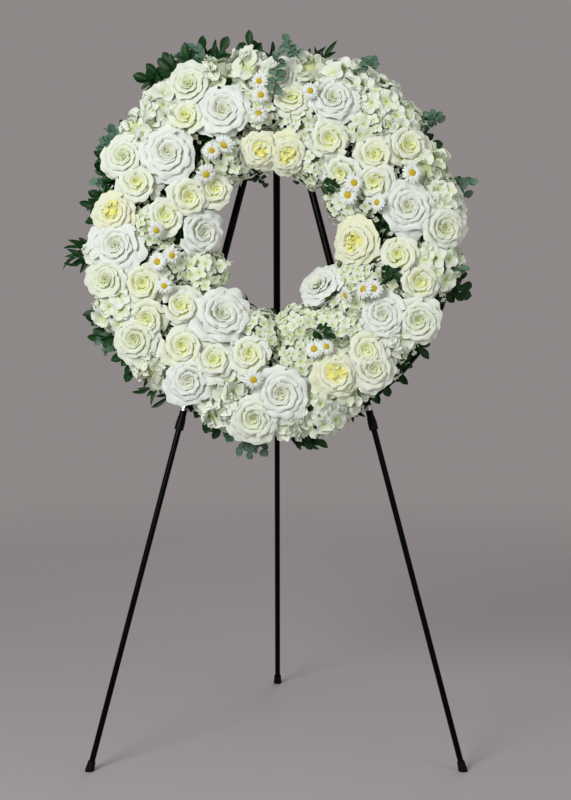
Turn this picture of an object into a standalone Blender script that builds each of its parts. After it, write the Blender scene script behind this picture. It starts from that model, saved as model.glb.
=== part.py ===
"""A white funeral wreath of silk blooms, standing on a folding tripod easel.

Metres, +Z up. The wreath faces -Y and leans back with the easel's two front legs. The origin is on
the floor, under the middle of the whole object.
"""

import math
from collections import namedtuple

import bmesh
import bpy
from mathutils import Matrix, Vector

# Stance of the easel
FRONT_SIDES = ("left", "right")
SIDES = ("left", "right", "rear")
FOOT_SPREAD = 0.812  # between the two front soles
REAR_REACH = 0.71  # from the front soles back to the rear sole
APEX_HEIGHT = 1.545  # where the axes of the front legs would meet
APEX_BACK = 0.25  # how far that point lies behind the front soles
ORIGIN_BACK = 0.352  # from the front soles back to the origin
GAP = 0.0003  # left between pieces that touch

# Legs, measured down each leg from its pivot
PIVOT_SPACING = 0.044  # between the two front pivots
REAR_PIVOT_DROP = 0.004
REAR_PIVOT_BACK = 0.034  # behind the plane of the front legs
UPPER_RADIUS = 0.00795
LOWER_RADIUS = 0.00635
WALL = 0.001
UPPER_START = 0.024
UPPER_END = 0.750
COLLAR_START = 0.734
COLLAR_END = 0.764
COLLAR_RADIUS = 0.0100
LOWER_START = 0.680
TUBE_SIDES = 16
FOOT_LENGTH = 0.022
FOOT_RADIUS = 0.0098
SOLE_THICKNESS = 0.009

# Head of the easel
KNUCKLE_RADIUS = 0.0085
KNUCKLE_THICKNESS = 0.011
NECK_RADIUS = 0.0052
STUB_LENGTH = 0.022
PLATE = 0.0016
CHEEK_GAP = KNUCKLE_THICKNESS + 0.0008  # between the plates that hold a knuckle
HEAD_WIDTH = 0.074
HEAD_TOP = 0.026
HEAD_BOTTOM = -0.011
EAR_BACK = 0.0535
EAR_TOP = 0.012
EAR_BOTTOM = -0.018
PIN_RADIUS = 0.0025
PIN_HEAD_RADIUS = 0.0048
PIN_FRONT_HEAD = 0.0006  # low, because the wreath leans on it
PIN_REAR_HEAD = 0.0024
WEB_TOP = -0.010  # the stop web, measured along the rear leg from its pivot
WEB_BOTTOM = -0.018

# Holders that carry the wreath
BAND_HEIGHT = 0.0115
BAND_WALL = 0.0014
ARM_START = 0.0205  # from the tube's axis, inwards
ARM_DRIFT = 0.0200  # how far the arm works inwards over its length
ARM_LENGTH = 0.068
ARM_RADIUS = 0.003
SLEEVE_RADIUS = 0.0058
SLEEVE_START = 0.030
SLEEVE_NOSE = 0.014  # past the arm's tip
SCREW_RADIUS = 0.0016
SCREW_HEAD_RADIUS = 0.0031
SCREW_HEAD = 0.0021
TAB_HALF_THICKNESS = 0.0025

# Base of the wreath: a tray with a half-round foam ring in it
WREATH_CENTRE_UP = 1.130  # up the plane of the front legs, from the front soles
STANDOFF = UPPER_RADIUS + 3 * GAP  # from that plane to the tray's back
RING_RADIUS = 0.291
TRAY_HALF_WIDTH = 0.095
TRAY_WALL = 0.0022
TRAY_LIP = 0.014
FOAM_HALF_WIDTH = 0.086
FOAM_HEIGHT = 0.042
FOAM_FLOOR = 0.0035
RING_STEPS = 40

# The mound of blooms over the base; it is a little taller than wide
MOUND_RADIUS = 0.2865
MOUND_SHIFT = 0.019  # its middle is this far above the base's
MOUND_OVAL = 0.02
MOUND_FOOT = 0.034
MOUND_RISE = 0.066
MOUND_HALF_WIDTH = 0.160
BLOOM_GAP = 0.0005  # between blooms of different pieces
BLOOM_FLOOR = 0.030  # blooms keep in front of this height, greenery behind it
FLOOR_STEP = 0.0004
FOAM_CLEARANCE = 0.003
STEM_TIP = -0.9999  # cosine from the bloom's axis beyond which its lowest point lies

Kind = namedtuple("Kind", "front back lift petals lobe ripple segments rings")
KINDS = {
    "large_rose": Kind(0.55, 0.66, 0.000, 5, 0.045, 0.045, 15, 8),
    "peony": Kind(0.72, 0.70, 0.000, 6, 0.040, 0.035, 12, 7),
    "small_rose": Kind(0.62, 0.85, 0.000, 5, 0.045, 0.040, 10, 6),
    "hydrangea": Kind(0.72, 0.90, -0.014, 4, 0.060, 0.000, 8, 5),
}

# Where the blooms are planted: clock angle in degrees from the top of the ring, distance from the
# ring's centre, and diameter.
LARGE_ROSES = [
    (338, 0.295, 0.137),
    (22, 0.320, 0.128),
    (76, 0.295, 0.137),
    (125, 0.280, 0.116),
    (133, 0.145, 0.101),
    (178, 0.320, 0.141),
    (213, 0.368, 0.132),
    (216, 0.202, 0.141),
    (268, 0.345, 0.137),
    (277, 0.170, 0.113),
    (309, 0.297, 0.141),
]
PEONIES = [
    (7, 0.190, 0.097),
    (90, 0.186, 0.109),
    (156, 0.308, 0.120),
    (280, 0.355, 0.105),
    (350, 0.200, 0.097),
]
BUNCHES = {
    "bunch_top_left": [
        ("small_rose", 324, 0.326, 0.092),
        ("hydrangea", 322, 0.373, 0.116),
        ("hydrangea", 331, 0.374, 0.112),
        ("hydrangea", 340, 0.372, 0.112),
        ("hydrangea", 351, 0.370, 0.116),
        ("hydrangea", 310, 0.373, 0.116),
        ("hydrangea", 299, 0.371, 0.114),
        ("small_rose", 293, 0.326, 0.092),
    ],
    "bunch_top": [
        ("hydrangea", 353, 0.290, 0.114),
        ("small_rose", 6, 0.302, 0.088),
        ("hydrangea", 13, 0.254, 0.108),
        ("hydrangea", 11, 0.361, 0.114),
        ("hydrangea", 1, 0.346, 0.104),
        ("small_rose", 27, 0.245, 0.092),
        ("small_rose", 44, 0.209, 0.092),
        ("hydrangea", 60, 0.180, 0.114),
        ("hydrangea", 27, 0.184, 0.102),
    ],
    "bunch_top_right": [
        ("hydrangea", 24, 0.373, 0.116),
        ("hydrangea", 36, 0.369, 0.116),
        ("hydrangea", 45, 0.372, 0.110),
        ("hydrangea", 39, 0.314, 0.110),
    ],
    "bunch_right_upper": [
        ("small_rose", 54, 0.345, 0.095),
        ("hydrangea", 63, 0.368, 0.116),
        ("small_rose", 49, 0.281, 0.092),
        ("small_rose", 59, 0.250, 0.092),
    ],
    "bunch_right": [
        ("hydrangea", 76, 0.370, 0.110),
        ("hydrangea", 86, 0.362, 0.116),
        ("hydrangea", 98, 0.350, 0.114),
        ("small_rose", 106, 0.323, 0.095),
        ("small_rose", 97, 0.270, 0.095),
        ("hydrangea", 108, 0.239, 0.108),
    ],
    "bunch_right_lower": [
        ("hydrangea", 119, 0.350, 0.116),
        ("hydrangea", 130, 0.334, 0.116),
        ("small_rose", 141, 0.306, 0.097),
        ("hydrangea", 143, 0.352, 0.110),
    ],
    "bunch_inner_right": [
        ("hydrangea", 115, 0.182, 0.100),
        ("hydrangea", 128, 0.212, 0.104),
        ("hydrangea", 141, 0.235, 0.106),
        ("hydrangea", 152, 0.206, 0.108),
        ("hydrangea", 164, 0.180, 0.108),
        ("hydrangea", 169, 0.245, 0.108),
    ],
    "bunch_bottom": [
        ("hydrangea", 155, 0.362, 0.104),
        ("hydrangea", 165, 0.368, 0.110),
        ("hydrangea", 175, 0.373, 0.106),
    ],
    "bunch_bottom_left": [
        ("hydrangea", 187, 0.371, 0.116),
        ("hydrangea", 198, 0.335, 0.116),
        ("hydrangea", 199, 0.370, 0.110),
        ("small_rose", 207, 0.285, 0.095),
        ("small_rose", 193, 0.250, 0.095),
        ("hydrangea", 190, 0.188, 0.106),
        ("small_rose", 221, 0.300, 0.095),
    ],
    "bunch_left": [
        ("hydrangea", 226, 0.369, 0.110),
        ("hydrangea", 235, 0.367, 0.110),
        ("small_rose", 239, 0.323, 0.092),
        ("small_rose", 235, 0.251, 0.092),
        ("hydrangea", 247, 0.368, 0.112),
        ("hydrangea", 257, 0.372, 0.108),
        ("hydrangea", 267, 0.375, 0.106),
        ("small_rose", 252, 0.303, 0.092),
        ("hydrangea", 257, 0.236, 0.106),
        ("hydrangea", 247, 0.166, 0.114),
    ],
    "bunch_inner_left": [
        ("small_rose", 282, 0.249, 0.092),
        ("hydrangea", 274, 0.290, 0.102),
        ("small_rose", 297, 0.215, 0.092),
        ("small_rose", 310, 0.178, 0.088),
        ("hydrangea", 328, 0.204, 0.110),
    ],
}

# Greenery behind the rim: each garland's first and last clock angle, then its leaves as clock angle,
# turn away from straight out in degrees, and length.
VINE_RADIUS = 0.0020
VINE_RING = 0.3935
VINE_HEIGHT = 0.016
LEAF_THICKNESS = 0.0034
LEAF_WIDTH = 0.42  # of its length
GARLANDS = {
    "greenery_top_left": (
        (322, 354),
        [(324, -25, 0.062), (327, 10, 0.058), (330, -40, 0.052), (333, -5, 0.066), (336, 25, 0.056),
         (339, -15, 0.052), (353, 0, 0.058)],
    ),
    "greenery_top_right": (
        (8, 56),
        [(11, -10, 0.056), (15, 20, 0.058), (18, -30, 0.050), (24, 0, 0.066), (28, 30, 0.056),
         (49, -10, 0.060), (53, 20, 0.066)],
    ),
    "greenery_right": (
        (72, 116),
        [(73, 10, 0.062), (77, -25, 0.056), (80, 15, 0.050), (96, -15, 0.060), (100, 10, 0.066),
         (104, 35, 0.054), (113, 0, 0.056)],
    ),
    "greenery_bottom_right": (
        (160, 174),
        [(162, 30, 0.052), (167, -5, 0.060), (171, -30, 0.054)],
    ),
    "greenery_bottom_left": (
        (187, 200),
        [(188, -35, 0.058), (191, 0, 0.064), (195, 20, 0.060), (199, 50, 0.056)],
    ),
    "greenery_left": (
        (224, 300),
        [(225, 15, 0.064), (229, -20, 0.060), (234, 20, 0.066), (238, -10, 0.058), (243, 30, 0.060),
         (260, -20, 0.060), (264, 5, 0.062), (268, 30, 0.056), (281, 0, 0.056), (294, -15, 0.060),
         (297, 15, 0.064)],
    ),
}

MATERIALS = {
    "black_enamel": ((0.010, 0.010, 0.011), 0.28, 0.0),
    "black_plastic": ((0.014, 0.014, 0.015), 0.55, 0.0),
    "black_rubber": ((0.018, 0.018, 0.018), 0.85, 0.0),
    "chrome": ((0.80, 0.81, 0.82), 0.15, 1.0),
    "zinc_steel": ((0.55, 0.56, 0.57), 0.35, 1.0),
    "green_foam": ((0.12, 0.25, 0.11), 0.95, 0.0),
    "green_plastic": ((0.03, 0.10, 0.04), 0.50, 0.0),
    "white_petal": ((0.88, 0.88, 0.84), 0.70, 0.0),
    "cream_petal": ((0.86, 0.83, 0.62), 0.70, 0.0),
    "ivory_bunch": ((0.84, 0.85, 0.70), 0.75, 0.0),
    "dark_leaf": ((0.020, 0.085, 0.030), 0.45, 0.0),
}

LEAN = math.atan2(APEX_BACK, APEX_HEIGHT)
ACROSS = Vector((1, 0, 0))
UP_PLANE = Vector((0, math.sin(LEAN), math.cos(LEAN)))
OUTWARDS = Vector((0, -math.cos(LEAN), math.sin(LEAN)))


def plane_point(across, up, out=0.0):
    """A point given in the plane of the front legs: across, up the plane, and out in front of it."""
    return Vector((0, -ORIGIN_BACK, 0)) + ACROSS * across + UP_PLANE * up + OUTWARDS * out


APEX_UP = math.hypot(APEX_BACK, APEX_HEIGHT)
PIVOT_UP = APEX_UP * (1 - PIVOT_SPACING / FOOT_SPREAD)
HEAD_CENTRE = plane_point(0, PIVOT_UP)
WREATH_CENTRE = plane_point(0, WREATH_CENTRE_UP, STANDOFF)


def frame_matrix(origin, along_y, along_z):
    """A placing matrix from an origin, its y axis and its z axis."""
    z = along_z.normalized()
    y = (along_y - z * along_y.dot(z)).normalized()
    x = y.cross(z)
    matrix = Matrix((x, y, z)).transposed().to_4x4()
    matrix.translation = origin
    return matrix


HEAD_FRAME = frame_matrix(HEAD_CENTRE, OUTWARDS, UP_PLANE)
WREATH_FRAME = frame_matrix(WREATH_CENTRE, UP_PLANE, OUTWARDS)


def leg_line(side):
    """A leg's pivot, its sole's middle on the floor and the axis of its pivot."""
    if side == "rear":
        pivot = plane_point(0, PIVOT_UP - REAR_PIVOT_DROP, -REAR_PIVOT_BACK)
        return pivot, Vector((0, REAR_REACH - ORIGIN_BACK, 0)), ACROSS
    sign = 1 if side == "right" else -1
    pivot = plane_point(sign * PIVOT_SPACING / 2, PIVOT_UP)
    return pivot, plane_point(sign * FOOT_SPREAD / 2, 0), OUTWARDS


def leg_frame(side):
    """Pivot at the origin, z up the leg and y along the pivot's axis."""
    pivot, sole, axis = leg_line(side)
    return frame_matrix(pivot, axis, pivot - sole)


# Scene helpers


def clear_scene():
    for thing in list(bpy.data.objects):
        bpy.data.objects.remove(thing, do_unlink=True)


def collection(name):
    group = bpy.data.collections.new(name)
    bpy.context.scene.collection.children.link(group)
    return group


def make_material(name):
    colour, roughness, metallic = MATERIALS[name]
    material = bpy.data.materials.new(name)
    material.use_nodes = True
    shader = material.node_tree.nodes["Principled BSDF"]
    shader.inputs["Base Color"].default_value = (*colour, 1.0)
    shader.inputs["Roughness"].default_value = roughness
    shader.inputs["Metallic"].default_value = metallic
    material.diffuse_color = (*colour, 1.0)
    return material


def add_object(name, data, matrix, material=None, parent=None):
    """A kept piece where a material is given, otherwise a helper that only cuts or joins."""
    thing = bpy.data.objects.new(name, data)
    if material:
        PARTS.objects.link(thing)
        data.materials.append(FINISHES[material])
    else:
        HELPERS.objects.link(thing)
        thing.hide_render = True
        thing.display_type = "WIRE"
    if parent:
        thing.parent = parent
    thing.matrix_world = matrix
    return thing


def axis_empty(name, matrix):
    """An empty on a joint's axis, which carries the pieces that move about it."""
    empty = bpy.data.objects.new(name, None)
    empty.empty_display_size = 0.05
    PARTS.objects.link(empty)
    empty.matrix_world = matrix
    bpy.context.view_layer.update()
    return empty


def mesh_from(name, bm, smooth=True):
    mesh = bpy.data.meshes.new(name)
    bm.to_mesh(mesh)
    bm.free()
    if smooth:
        mesh.shade_smooth()
        mesh.set_sharp_from_angle(angle=math.radians(40))
    return mesh


def box(name, low, high, matrix, material=None, parent=None):
    bm = bmesh.new()
    bmesh.ops.create_cube(bm, size=1.0)
    size = Vector(high) - Vector(low)
    bmesh.ops.scale(bm, vec=size, verts=bm.verts)
    bmesh.ops.translate(bm, vec=(Vector(high) + Vector(low)) / 2, verts=bm.verts)
    return add_object(name, mesh_from(name, bm, smooth=False), matrix, material, parent)


def rod(name, radius, start, end, matrix, sides=TUBE_SIDES, material=None, parent=None):
    """A solid round bar between two points of the given frame."""
    start, end = Vector(start), Vector(end)
    bm = bmesh.new()
    bmesh.ops.create_cone(
        bm, cap_ends=True, segments=sides, radius1=radius, radius2=radius, depth=(end - start).length
    )
    turn = Vector((0, 0, 1)).rotation_difference(end - start).to_matrix().to_4x4()
    turn.translation = (start + end) / 2
    bmesh.ops.transform(bm, matrix=turn, verts=bm.verts)
    return add_object(name, mesh_from(name, bm), matrix, material, parent)


def turned(name, profile, matrix, material=None, parent=None, steps=TUBE_SIDES, ring=True):
    """A profile of (radius, height) points turned about z; its outer side runs from top to bottom."""
    mesh = bpy.data.meshes.new(name)
    points = [(radius, 0, height) for radius, height in profile]
    edges = [(i, i + 1) for i in range(len(points) - 1)]
    if ring:
        edges.append((len(points) - 1, 0))
    mesh.from_pydata(points, edges, [])
    thing = add_object(name, mesh, matrix, material, parent)
    screw = thing.modifiers.new("turn", "SCREW")
    screw.axis = "Z"
    screw.steps = steps
    screw.render_steps = steps
    screw.use_merge_vertices = True
    screw.merge_threshold = 0.00001
    screw.use_smooth_shade = True
    return thing


def combine(thing, helper, operation):
    boolean = thing.modifiers.new(helper.name, "BOOLEAN")
    boolean.operation = operation
    boolean.object = helper


# Easel


def bracket_plates():
    """Boxes of the folded sheet head, in its own frame: two cheeks and two ears behind."""
    half = HEAD_WIDTH / 2
    inner = CHEEK_GAP / 2
    outer = inner + PLATE
    root = -inner - PLATE / 2
    return {
        "front_cheek": ((-half, inner, HEAD_BOTTOM), (half, outer, HEAD_TOP)),
        "rear_cheek": ((-half, -outer, HEAD_BOTTOM), (half, -inner, HEAD_TOP)),
        "left_ear": ((-outer, -EAR_BACK, EAR_BOTTOM), (-inner, root, EAR_TOP)),
        "right_ear": ((inner, -EAR_BACK, EAR_BOTTOM), (outer, root, EAR_TOP)),
    }


def make_head():
    """The folded sheet head that the three legs pivot in."""
    half = HEAD_WIDTH / 2 - PLATE / 4
    depth = CHEEK_GAP / 2 + PLATE / 2
    top = HEAD_TOP - PLATE / 4
    head = box("head_bracket", (-half, -depth, top - PLATE), (half, depth, top), HEAD_FRAME, "black_enamel")
    for name, (low, high) in bracket_plates().items():
        combine(head, box(name, low, high, HEAD_FRAME), "UNION")
    # the web across the ears that the opened rear leg leans on
    rear = leg_frame("rear")
    web_frame = frame_matrix(rear.translation, -rear.col[0].to_3d(), rear.col[2].to_3d())
    near = NECK_RADIUS + GAP
    web = box("stop_web", (-depth, near, WEB_BOTTOM), (depth, near + 1.5 * PLATE, WEB_TOP), web_frame)
    combine(head, web, "UNION")
    for side in SIDES:
        reach = CHEEK_GAP
        hole = rod(f"{side}_pin_hole", PIN_RADIUS + GAP, (0, -reach, 0), (0, reach, 0), leg_frame(side), 12)
        combine(head, hole, "DIFFERENCE")


def make_pin(side):
    """A headed rivet along the pivot's axis, through both plates and the knuckle."""
    matrix = leg_frame(side) @ Matrix.Rotation(math.radians(-90), 4, "X")
    reach = CHEEK_GAP / 2 + PLATE + GAP
    front = reach + PIN_FRONT_HEAD
    rear = -reach - PIN_REAR_HEAD
    profile = [
        (0, front),
        (PIN_HEAD_RADIUS * 0.8, front),
        (PIN_HEAD_RADIUS, reach),
        (PIN_RADIUS, reach),
        (PIN_RADIUS, -reach),
        (PIN_HEAD_RADIUS, -reach),
        (PIN_HEAD_RADIUS * 0.7, rear * 0.97),
        (0, rear),
    ]
    turned(f"{side}_pivot_pin", profile, matrix, "zinc_steel", steps=10, ring=False)


def make_knuckle(side, parent):
    """An eye for the pin, a neck, a flange on the tube's end and a stub inside the tube."""
    matrix = leg_frame(side)
    half = KNUCKLE_THICKNESS / 2
    name = f"{side}_knuckle"
    seat = UPPER_START - GAP
    eye = rod(name, KNUCKLE_RADIUS, (0, -half, 0), (0, half, 0), matrix, 16, "black_plastic", parent)
    neck = rod(f"{name}_neck", NECK_RADIUS, (0, 0, 0), (0, 0, -seat + 0.001), matrix, 12)
    flange = rod(f"{name}_flange", UPPER_RADIUS, (0, 0, 0.003 - seat), (0, 0, -seat), matrix)
    stub_radius = UPPER_RADIUS - WALL - 2 * GAP
    stub = rod(f"{name}_stub", stub_radius, (0, 0, 0.001 - seat), (0, 0, -seat - STUB_LENGTH), matrix)
    hole = rod(f"{name}_hole", PIN_RADIUS + GAP, (0, -2 * half, 0), (0, 2 * half, 0), matrix, 12)
    combine(eye, neck, "UNION")
    combine(eye, flange, "UNION")
    combine(eye, stub, "UNION")
    combine(eye, hole, "DIFFERENCE")


def tube_profile(radius, start, end):
    bore = radius - WALL
    return [(radius, -start), (radius, -end), (bore, -end), (bore, -start)]


def collar_profile():
    """A grip sleeve: wide bore round the upper tube, narrow bore round the lower one."""
    chamfer = 0.0012
    waist = COLLAR_RADIUS - 0.0008
    wide = UPPER_RADIUS + GAP + 0.0001
    narrow = LOWER_RADIUS + GAP + 0.0001
    step = UPPER_END + GAP
    return [
        (wide, -COLLAR_START),
        (waist - chamfer, -COLLAR_START),
        (waist, -COLLAR_START - chamfer),
        (waist, -COLLAR_START - 0.009),
        (COLLAR_RADIUS, -COLLAR_START - 0.0105),
        (COLLAR_RADIUS, -COLLAR_END + chamfer),
        (COLLAR_RADIUS - chamfer, -COLLAR_END),
        (narrow, -COLLAR_END),
        (narrow, -step),
        (wide, -step),
    ]


def make_foot(side, length, parent):
    """A rubber cap over the tube's end, cut level with the floor."""
    matrix = leg_frame(side)
    top = length - FOOT_LENGTH
    bore = LOWER_RADIUS + GAP + 0.0001
    past_floor = length + 2 * FOOT_RADIUS
    profile = [
        (bore, -top),
        (bore + 0.0016, -top),
        (FOOT_RADIUS - 0.0006, -length + 0.010),
        (FOOT_RADIUS, -length + 0.007),
        (FOOT_RADIUS, -past_floor),
        (0, -past_floor),
        (0, -length + SOLE_THICKNESS),
        (bore, -length + SOLE_THICKNESS),
    ]
    foot = turned(f"{side}_foot", profile, matrix, "black_rubber", parent)
    reach = 6 * FOOT_RADIUS
    sole = Matrix.Translation(matrix @ Vector((0, 0, -length)))
    below = box(f"{side}_floor", (-reach, -reach, -reach), (reach, reach, 0), sole)
    combine(foot, below, "DIFFERENCE")


def make_leg(side):
    matrix = leg_frame(side)
    pivot, sole, _ = leg_line(side)
    length = (pivot - sole).length
    fold = axis_empty(f"{side}_fold_axis", matrix)
    slide = axis_empty(f"{side}_slide_axis", matrix @ Matrix.Translation((0, 0, -UPPER_END)))
    make_pin(side)
    make_knuckle(side, fold)
    upper = tube_profile(UPPER_RADIUS, UPPER_START, UPPER_END)
    turned(f"{side}_upper_tube", upper, matrix, "black_enamel", fold)
    turned(f"{side}_collar", collar_profile(), matrix, "black_plastic", fold)
    lower_end = length - SOLE_THICKNESS - GAP
    lower = tube_profile(LOWER_RADIUS, LOWER_START, lower_end)
    turned(f"{side}_lower_tube", lower, matrix, "black_enamel", slide)
    make_foot(side, length, slide)


# Holders


def holder_frame(side):
    """Frame at the holder's band: z up the leg, y out to the front, x inwards or outwards by side.

    The band sits where its arm meets the tray's rim: the arm's foot is one rim radius, an arm's
    radius and a gap away from the ring's centre.
    """
    matrix = leg_frame(side)
    inward = holder_sign(side)
    lip_share = (TRAY_LIP + STANDOFF) / ARM_LENGTH
    offset = inward * (ARM_START + ARM_DRIFT * lip_share)
    start = matrix @ Vector((offset, 0, 0)) - plane_point(0, WREATH_CENTRE_UP)
    down = -matrix.col[2].to_3d()
    reach = RING_RADIUS + TRAY_HALF_WIDTH + ARM_RADIUS + 2 * GAP
    along = start.dot(down)
    drop = -along + math.sqrt(along * along - start.length_squared + reach * reach)
    return matrix @ Matrix.Translation((0, 0, -drop))


def holder_sign(side):
    return 1 if side == "right" else -1


def arm_points(side):
    """Foot and tip of a holder's arm, in the holder's frame."""
    inward = holder_sign(side)
    foot = Vector((inward * ARM_START, 0, 0))
    tip = Vector((inward * (ARM_START + ARM_DRIFT), ARM_LENGTH, 0))
    return foot, tip


def make_holder(side):
    matrix = holder_frame(side)
    inward = holder_sign(side)
    foot, tip = arm_points(side)
    bore = UPPER_RADIUS + GAP
    outer = bore + BAND_WALL
    half = BAND_HEIGHT / 2
    thick = TAB_HALF_THICKNESS
    band = [(outer, half), (outer, -half), (bore, -half), (bore, half)]
    clip = turned(f"{side}_clip", band, matrix, "chrome")
    ends = sorted((inward * (outer - BAND_WALL / 2), inward * (ARM_START + ARM_RADIUS)))
    tab = box(f"{side}_clip_tab", (ends[0], -thick, -half * 0.9), (ends[1], thick, half * 0.9), matrix)
    combine(clip, tab, "UNION")
    combine(clip, rod(f"{side}_clip_arm", ARM_RADIUS, foot, tip, matrix, 10), "UNION")
    screw_x = inward * (ARM_START - 2 * ARM_RADIUS)
    hole_ends = (screw_x, -2 * thick, 0), (screw_x, 2 * thick, 0)
    combine(clip, rod(f"{side}_screw_hole", SCREW_RADIUS + GAP, *hole_ends, matrix, 10), "DIFFERENCE")
    make_screw(side, matrix @ Matrix.Translation((screw_x, 0, 0)))
    make_sleeve(side, matrix, foot, tip)


def make_screw(side, matrix):
    """A pan-head screw and its nut as one clamped fastener, across the tab."""
    face = TAB_HALF_THICKNESS + GAP
    profile = [
        (0, face + SCREW_HEAD),
        (SCREW_HEAD_RADIUS * 0.84, face + 0.7 * SCREW_HEAD),
        (SCREW_HEAD_RADIUS, face),
        (SCREW_RADIUS, face),
        (SCREW_RADIUS, -face),
        (SCREW_HEAD_RADIUS, -face),
        (SCREW_HEAD_RADIUS, -face - SCREW_HEAD),
        (0, -face - SCREW_HEAD),
    ]
    turn = Matrix.Rotation(math.radians(-90), 4, "X")
    turned(f"{side}_clip_screw", profile, matrix @ turn, "zinc_steel", steps=10, ring=False)


def make_sleeve(side, matrix, foot, tip):
    """The soft pointed sleeve over the arm."""
    length = (tip - foot).length
    along = frame_matrix(foot, Vector((0, 0, 1)), tip - foot)
    bore = ARM_RADIUS + GAP + 0.0001
    profile = [
        (0, length + SLEEVE_NOSE),
        (SLEEVE_RADIUS * 0.55, length + 0.6 * SLEEVE_NOSE),
        (SLEEVE_RADIUS, length - 0.002),
        (SLEEVE_RADIUS * 0.86, SLEEVE_START),
        (bore, SLEEVE_START),
        (bore, length + GAP),
        (0, length + GAP),
    ]
    turned(f"{side}_arm_sleeve", profile, matrix @ along, "black_rubber", steps=12, ring=False)


# Wreath base


def make_base():
    inner = RING_RADIUS - TRAY_HALF_WIDTH
    outer = RING_RADIUS + TRAY_HALF_WIDTH
    tray = [
        (outer, TRAY_LIP),
        (outer, 0),
        (inner, 0),
        (inner, TRAY_LIP),
        (inner + TRAY_WALL, TRAY_LIP),
        (inner + TRAY_WALL, TRAY_WALL),
        (outer - TRAY_WALL, TRAY_WALL),
        (outer - TRAY_WALL, TRAY_LIP),
    ]
    turned("ring_tray", tray, WREATH_FRAME, "green_plastic", steps=RING_STEPS)
    arc = [math.radians(angle) for angle in range(-90, 91, 30)]
    foam = [foam_point(angle) for angle in arc]
    turned("foam_ring", foam, WREATH_FRAME, "green_foam", steps=RING_STEPS)


def foam_point(angle):
    """Radius and height of the foam's half-round surface; 90 degrees is its outer foot."""
    radius = RING_RADIUS + FOAM_HALF_WIDTH * math.sin(angle)
    return radius, FOAM_FLOOR + FOAM_HEIGHT * math.cos(angle)


# Blooms

Bloom = namedtuple("Bloom", "piece kind centre axis foot width")


def ring_place(clock, radius, height):
    """A point of the wreath's own frame from its clock angle, radius and height."""
    angle = math.radians(clock)
    return Vector((radius * math.sin(angle), radius * math.cos(angle), height))


def plant(piece, kind, clock, radius, width):
    """A bloom on the mound, facing away from the nearest point of the foam."""
    share = (radius - MOUND_RADIUS) / MOUND_HALF_WIDTH
    height = MOUND_FOOT + MOUND_RISE * math.sqrt(1 - share * share) + KINDS[kind].lift
    oval = 1 + MOUND_OVAL * math.cos(2 * math.radians(clock))
    centre = ring_place(clock, radius * oval, height) + Vector((0, MOUND_SHIFT, 0))
    outward = Vector((centre.x, centre.y, 0))
    arc = [foam_point(math.radians(angle)) for angle in range(-90, 91, 2)]
    nearest = min(arc, key=lambda point: math.dist(point, (outward.length, height)))
    foot = outward.normalized() * nearest[0] + Vector((0, 0, nearest[1]))
    return Bloom(piece, kind, centre, (centre - foot).normalized(), foot, width)


def all_blooms():
    blooms = []
    for kind, places in (("large_rose", LARGE_ROSES), ("peony", PEONIES)):
        for number, place in enumerate(places, 1):
            blooms.append(plant(f"{kind}_{number:02d}", kind, *place))
    for name, heads in BUNCHES.items():
        blooms += [plant(name, *head) for head in heads]
    return blooms


def limits(bloom, number, blooms, arms):
    """Planes that a bloom stays behind, each as an outward normal and its distance from the centre.

    The foam's plane is the last. Neighbouring blooms end at slightly different heights, so that no
    two faces coincide.
    """
    planes = []
    for other in blooms:
        between = other.centre - bloom.centre
        if other.piece == bloom.piece or between.length > bloom.width + other.width:
            continue
        share = 0.5 + (bloom.width**2 - other.width**2) / (8 * between.length_squared)
        share = min(max(share, 0.25), 0.75)
        planes.append((between.normalized(), between.length * share - BLOOM_GAP / 2))
    for start, end in arms:
        span = end - start
        share = (bloom.centre - start).dot(span) / span.length_squared
        between = start + span * min(max(share, 0), 1) - bloom.centre
        planes.append((between.normalized(), between.length - SLEEVE_RADIUS - BLOOM_GAP))
    planes.append((Vector((0, 0, -1)), bloom.centre.z - BLOOM_FLOOR - FLOOR_STEP * (number % 9)))
    # the foam's surface; on its inner side the ring curves towards the bloom
    radius = math.hypot(bloom.foot.x, bloom.foot.y)
    inwards = max(0, -bloom.axis.dot(Vector((bloom.foot.x, bloom.foot.y, 0)) / radius))
    bulge = inwards * (bloom.width / 2) ** 2 / (2 * radius)
    planes.append((-bloom.axis, (bloom.centre - bloom.foot).length - FOAM_CLEARANCE - bulge))
    return planes


def bloom_reach(kind, polar, around, half_width):
    """Distance from a bloom's centre to its surface; polar is 0 at the face, pi at the stem."""
    shape = KINDS[kind]
    sine, cosine = math.sin(polar), math.cos(polar)
    if cosine >= 0:
        power, depth = 2.3, shape.front
    else:
        power, depth = 1.9, shape.back
    reach = (sine**power + (abs(cosine) / depth) ** power) ** (-1 / power)
    petals = shape.lobe * sine * math.cos(shape.petals * around + 3 * polar)
    steps = shape.ripple * math.cos(shape.rings * polar)
    return half_width * reach * (1 + petals + steps)


def bloom_mesh(name, bloom, planes, spin):
    """A sphere whose every point is moved out to the bloom's surface or to the nearest limit."""
    shape = KINDS[bloom.kind]
    half_width = bloom.width / 2
    stem = (bloom.centre - bloom.foot).length - 2 * GAP
    turn = frame_matrix(bloom.centre, Vector((0.3, 1, 0.1)), bloom.axis)
    bm = bmesh.new()
    bmesh.ops.create_uvsphere(bm, u_segments=shape.segments, v_segments=shape.rings, radius=1.0)
    for vertex in bm.verts:
        direction = vertex.co.normalized()
        polar = math.acos(max(-1, min(1, direction.z)))
        around = math.atan2(direction.y, direction.x) + spin
        heading = turn.to_3x3() @ direction
        stem_tip = direction.z < STEM_TIP
        reach = stem if stem_tip else bloom_reach(bloom.kind, polar, around, half_width)
        for normal, distance in planes[:-1] if stem_tip else planes:
            facing = heading.dot(normal)
            if facing > 0:
                reach = min(reach, distance / facing)
        vertex.co = turn.translation + heading * reach
    bmesh.ops.triangulate(bm, faces=bm.faces)
    return mesh_from(name, bm)


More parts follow.
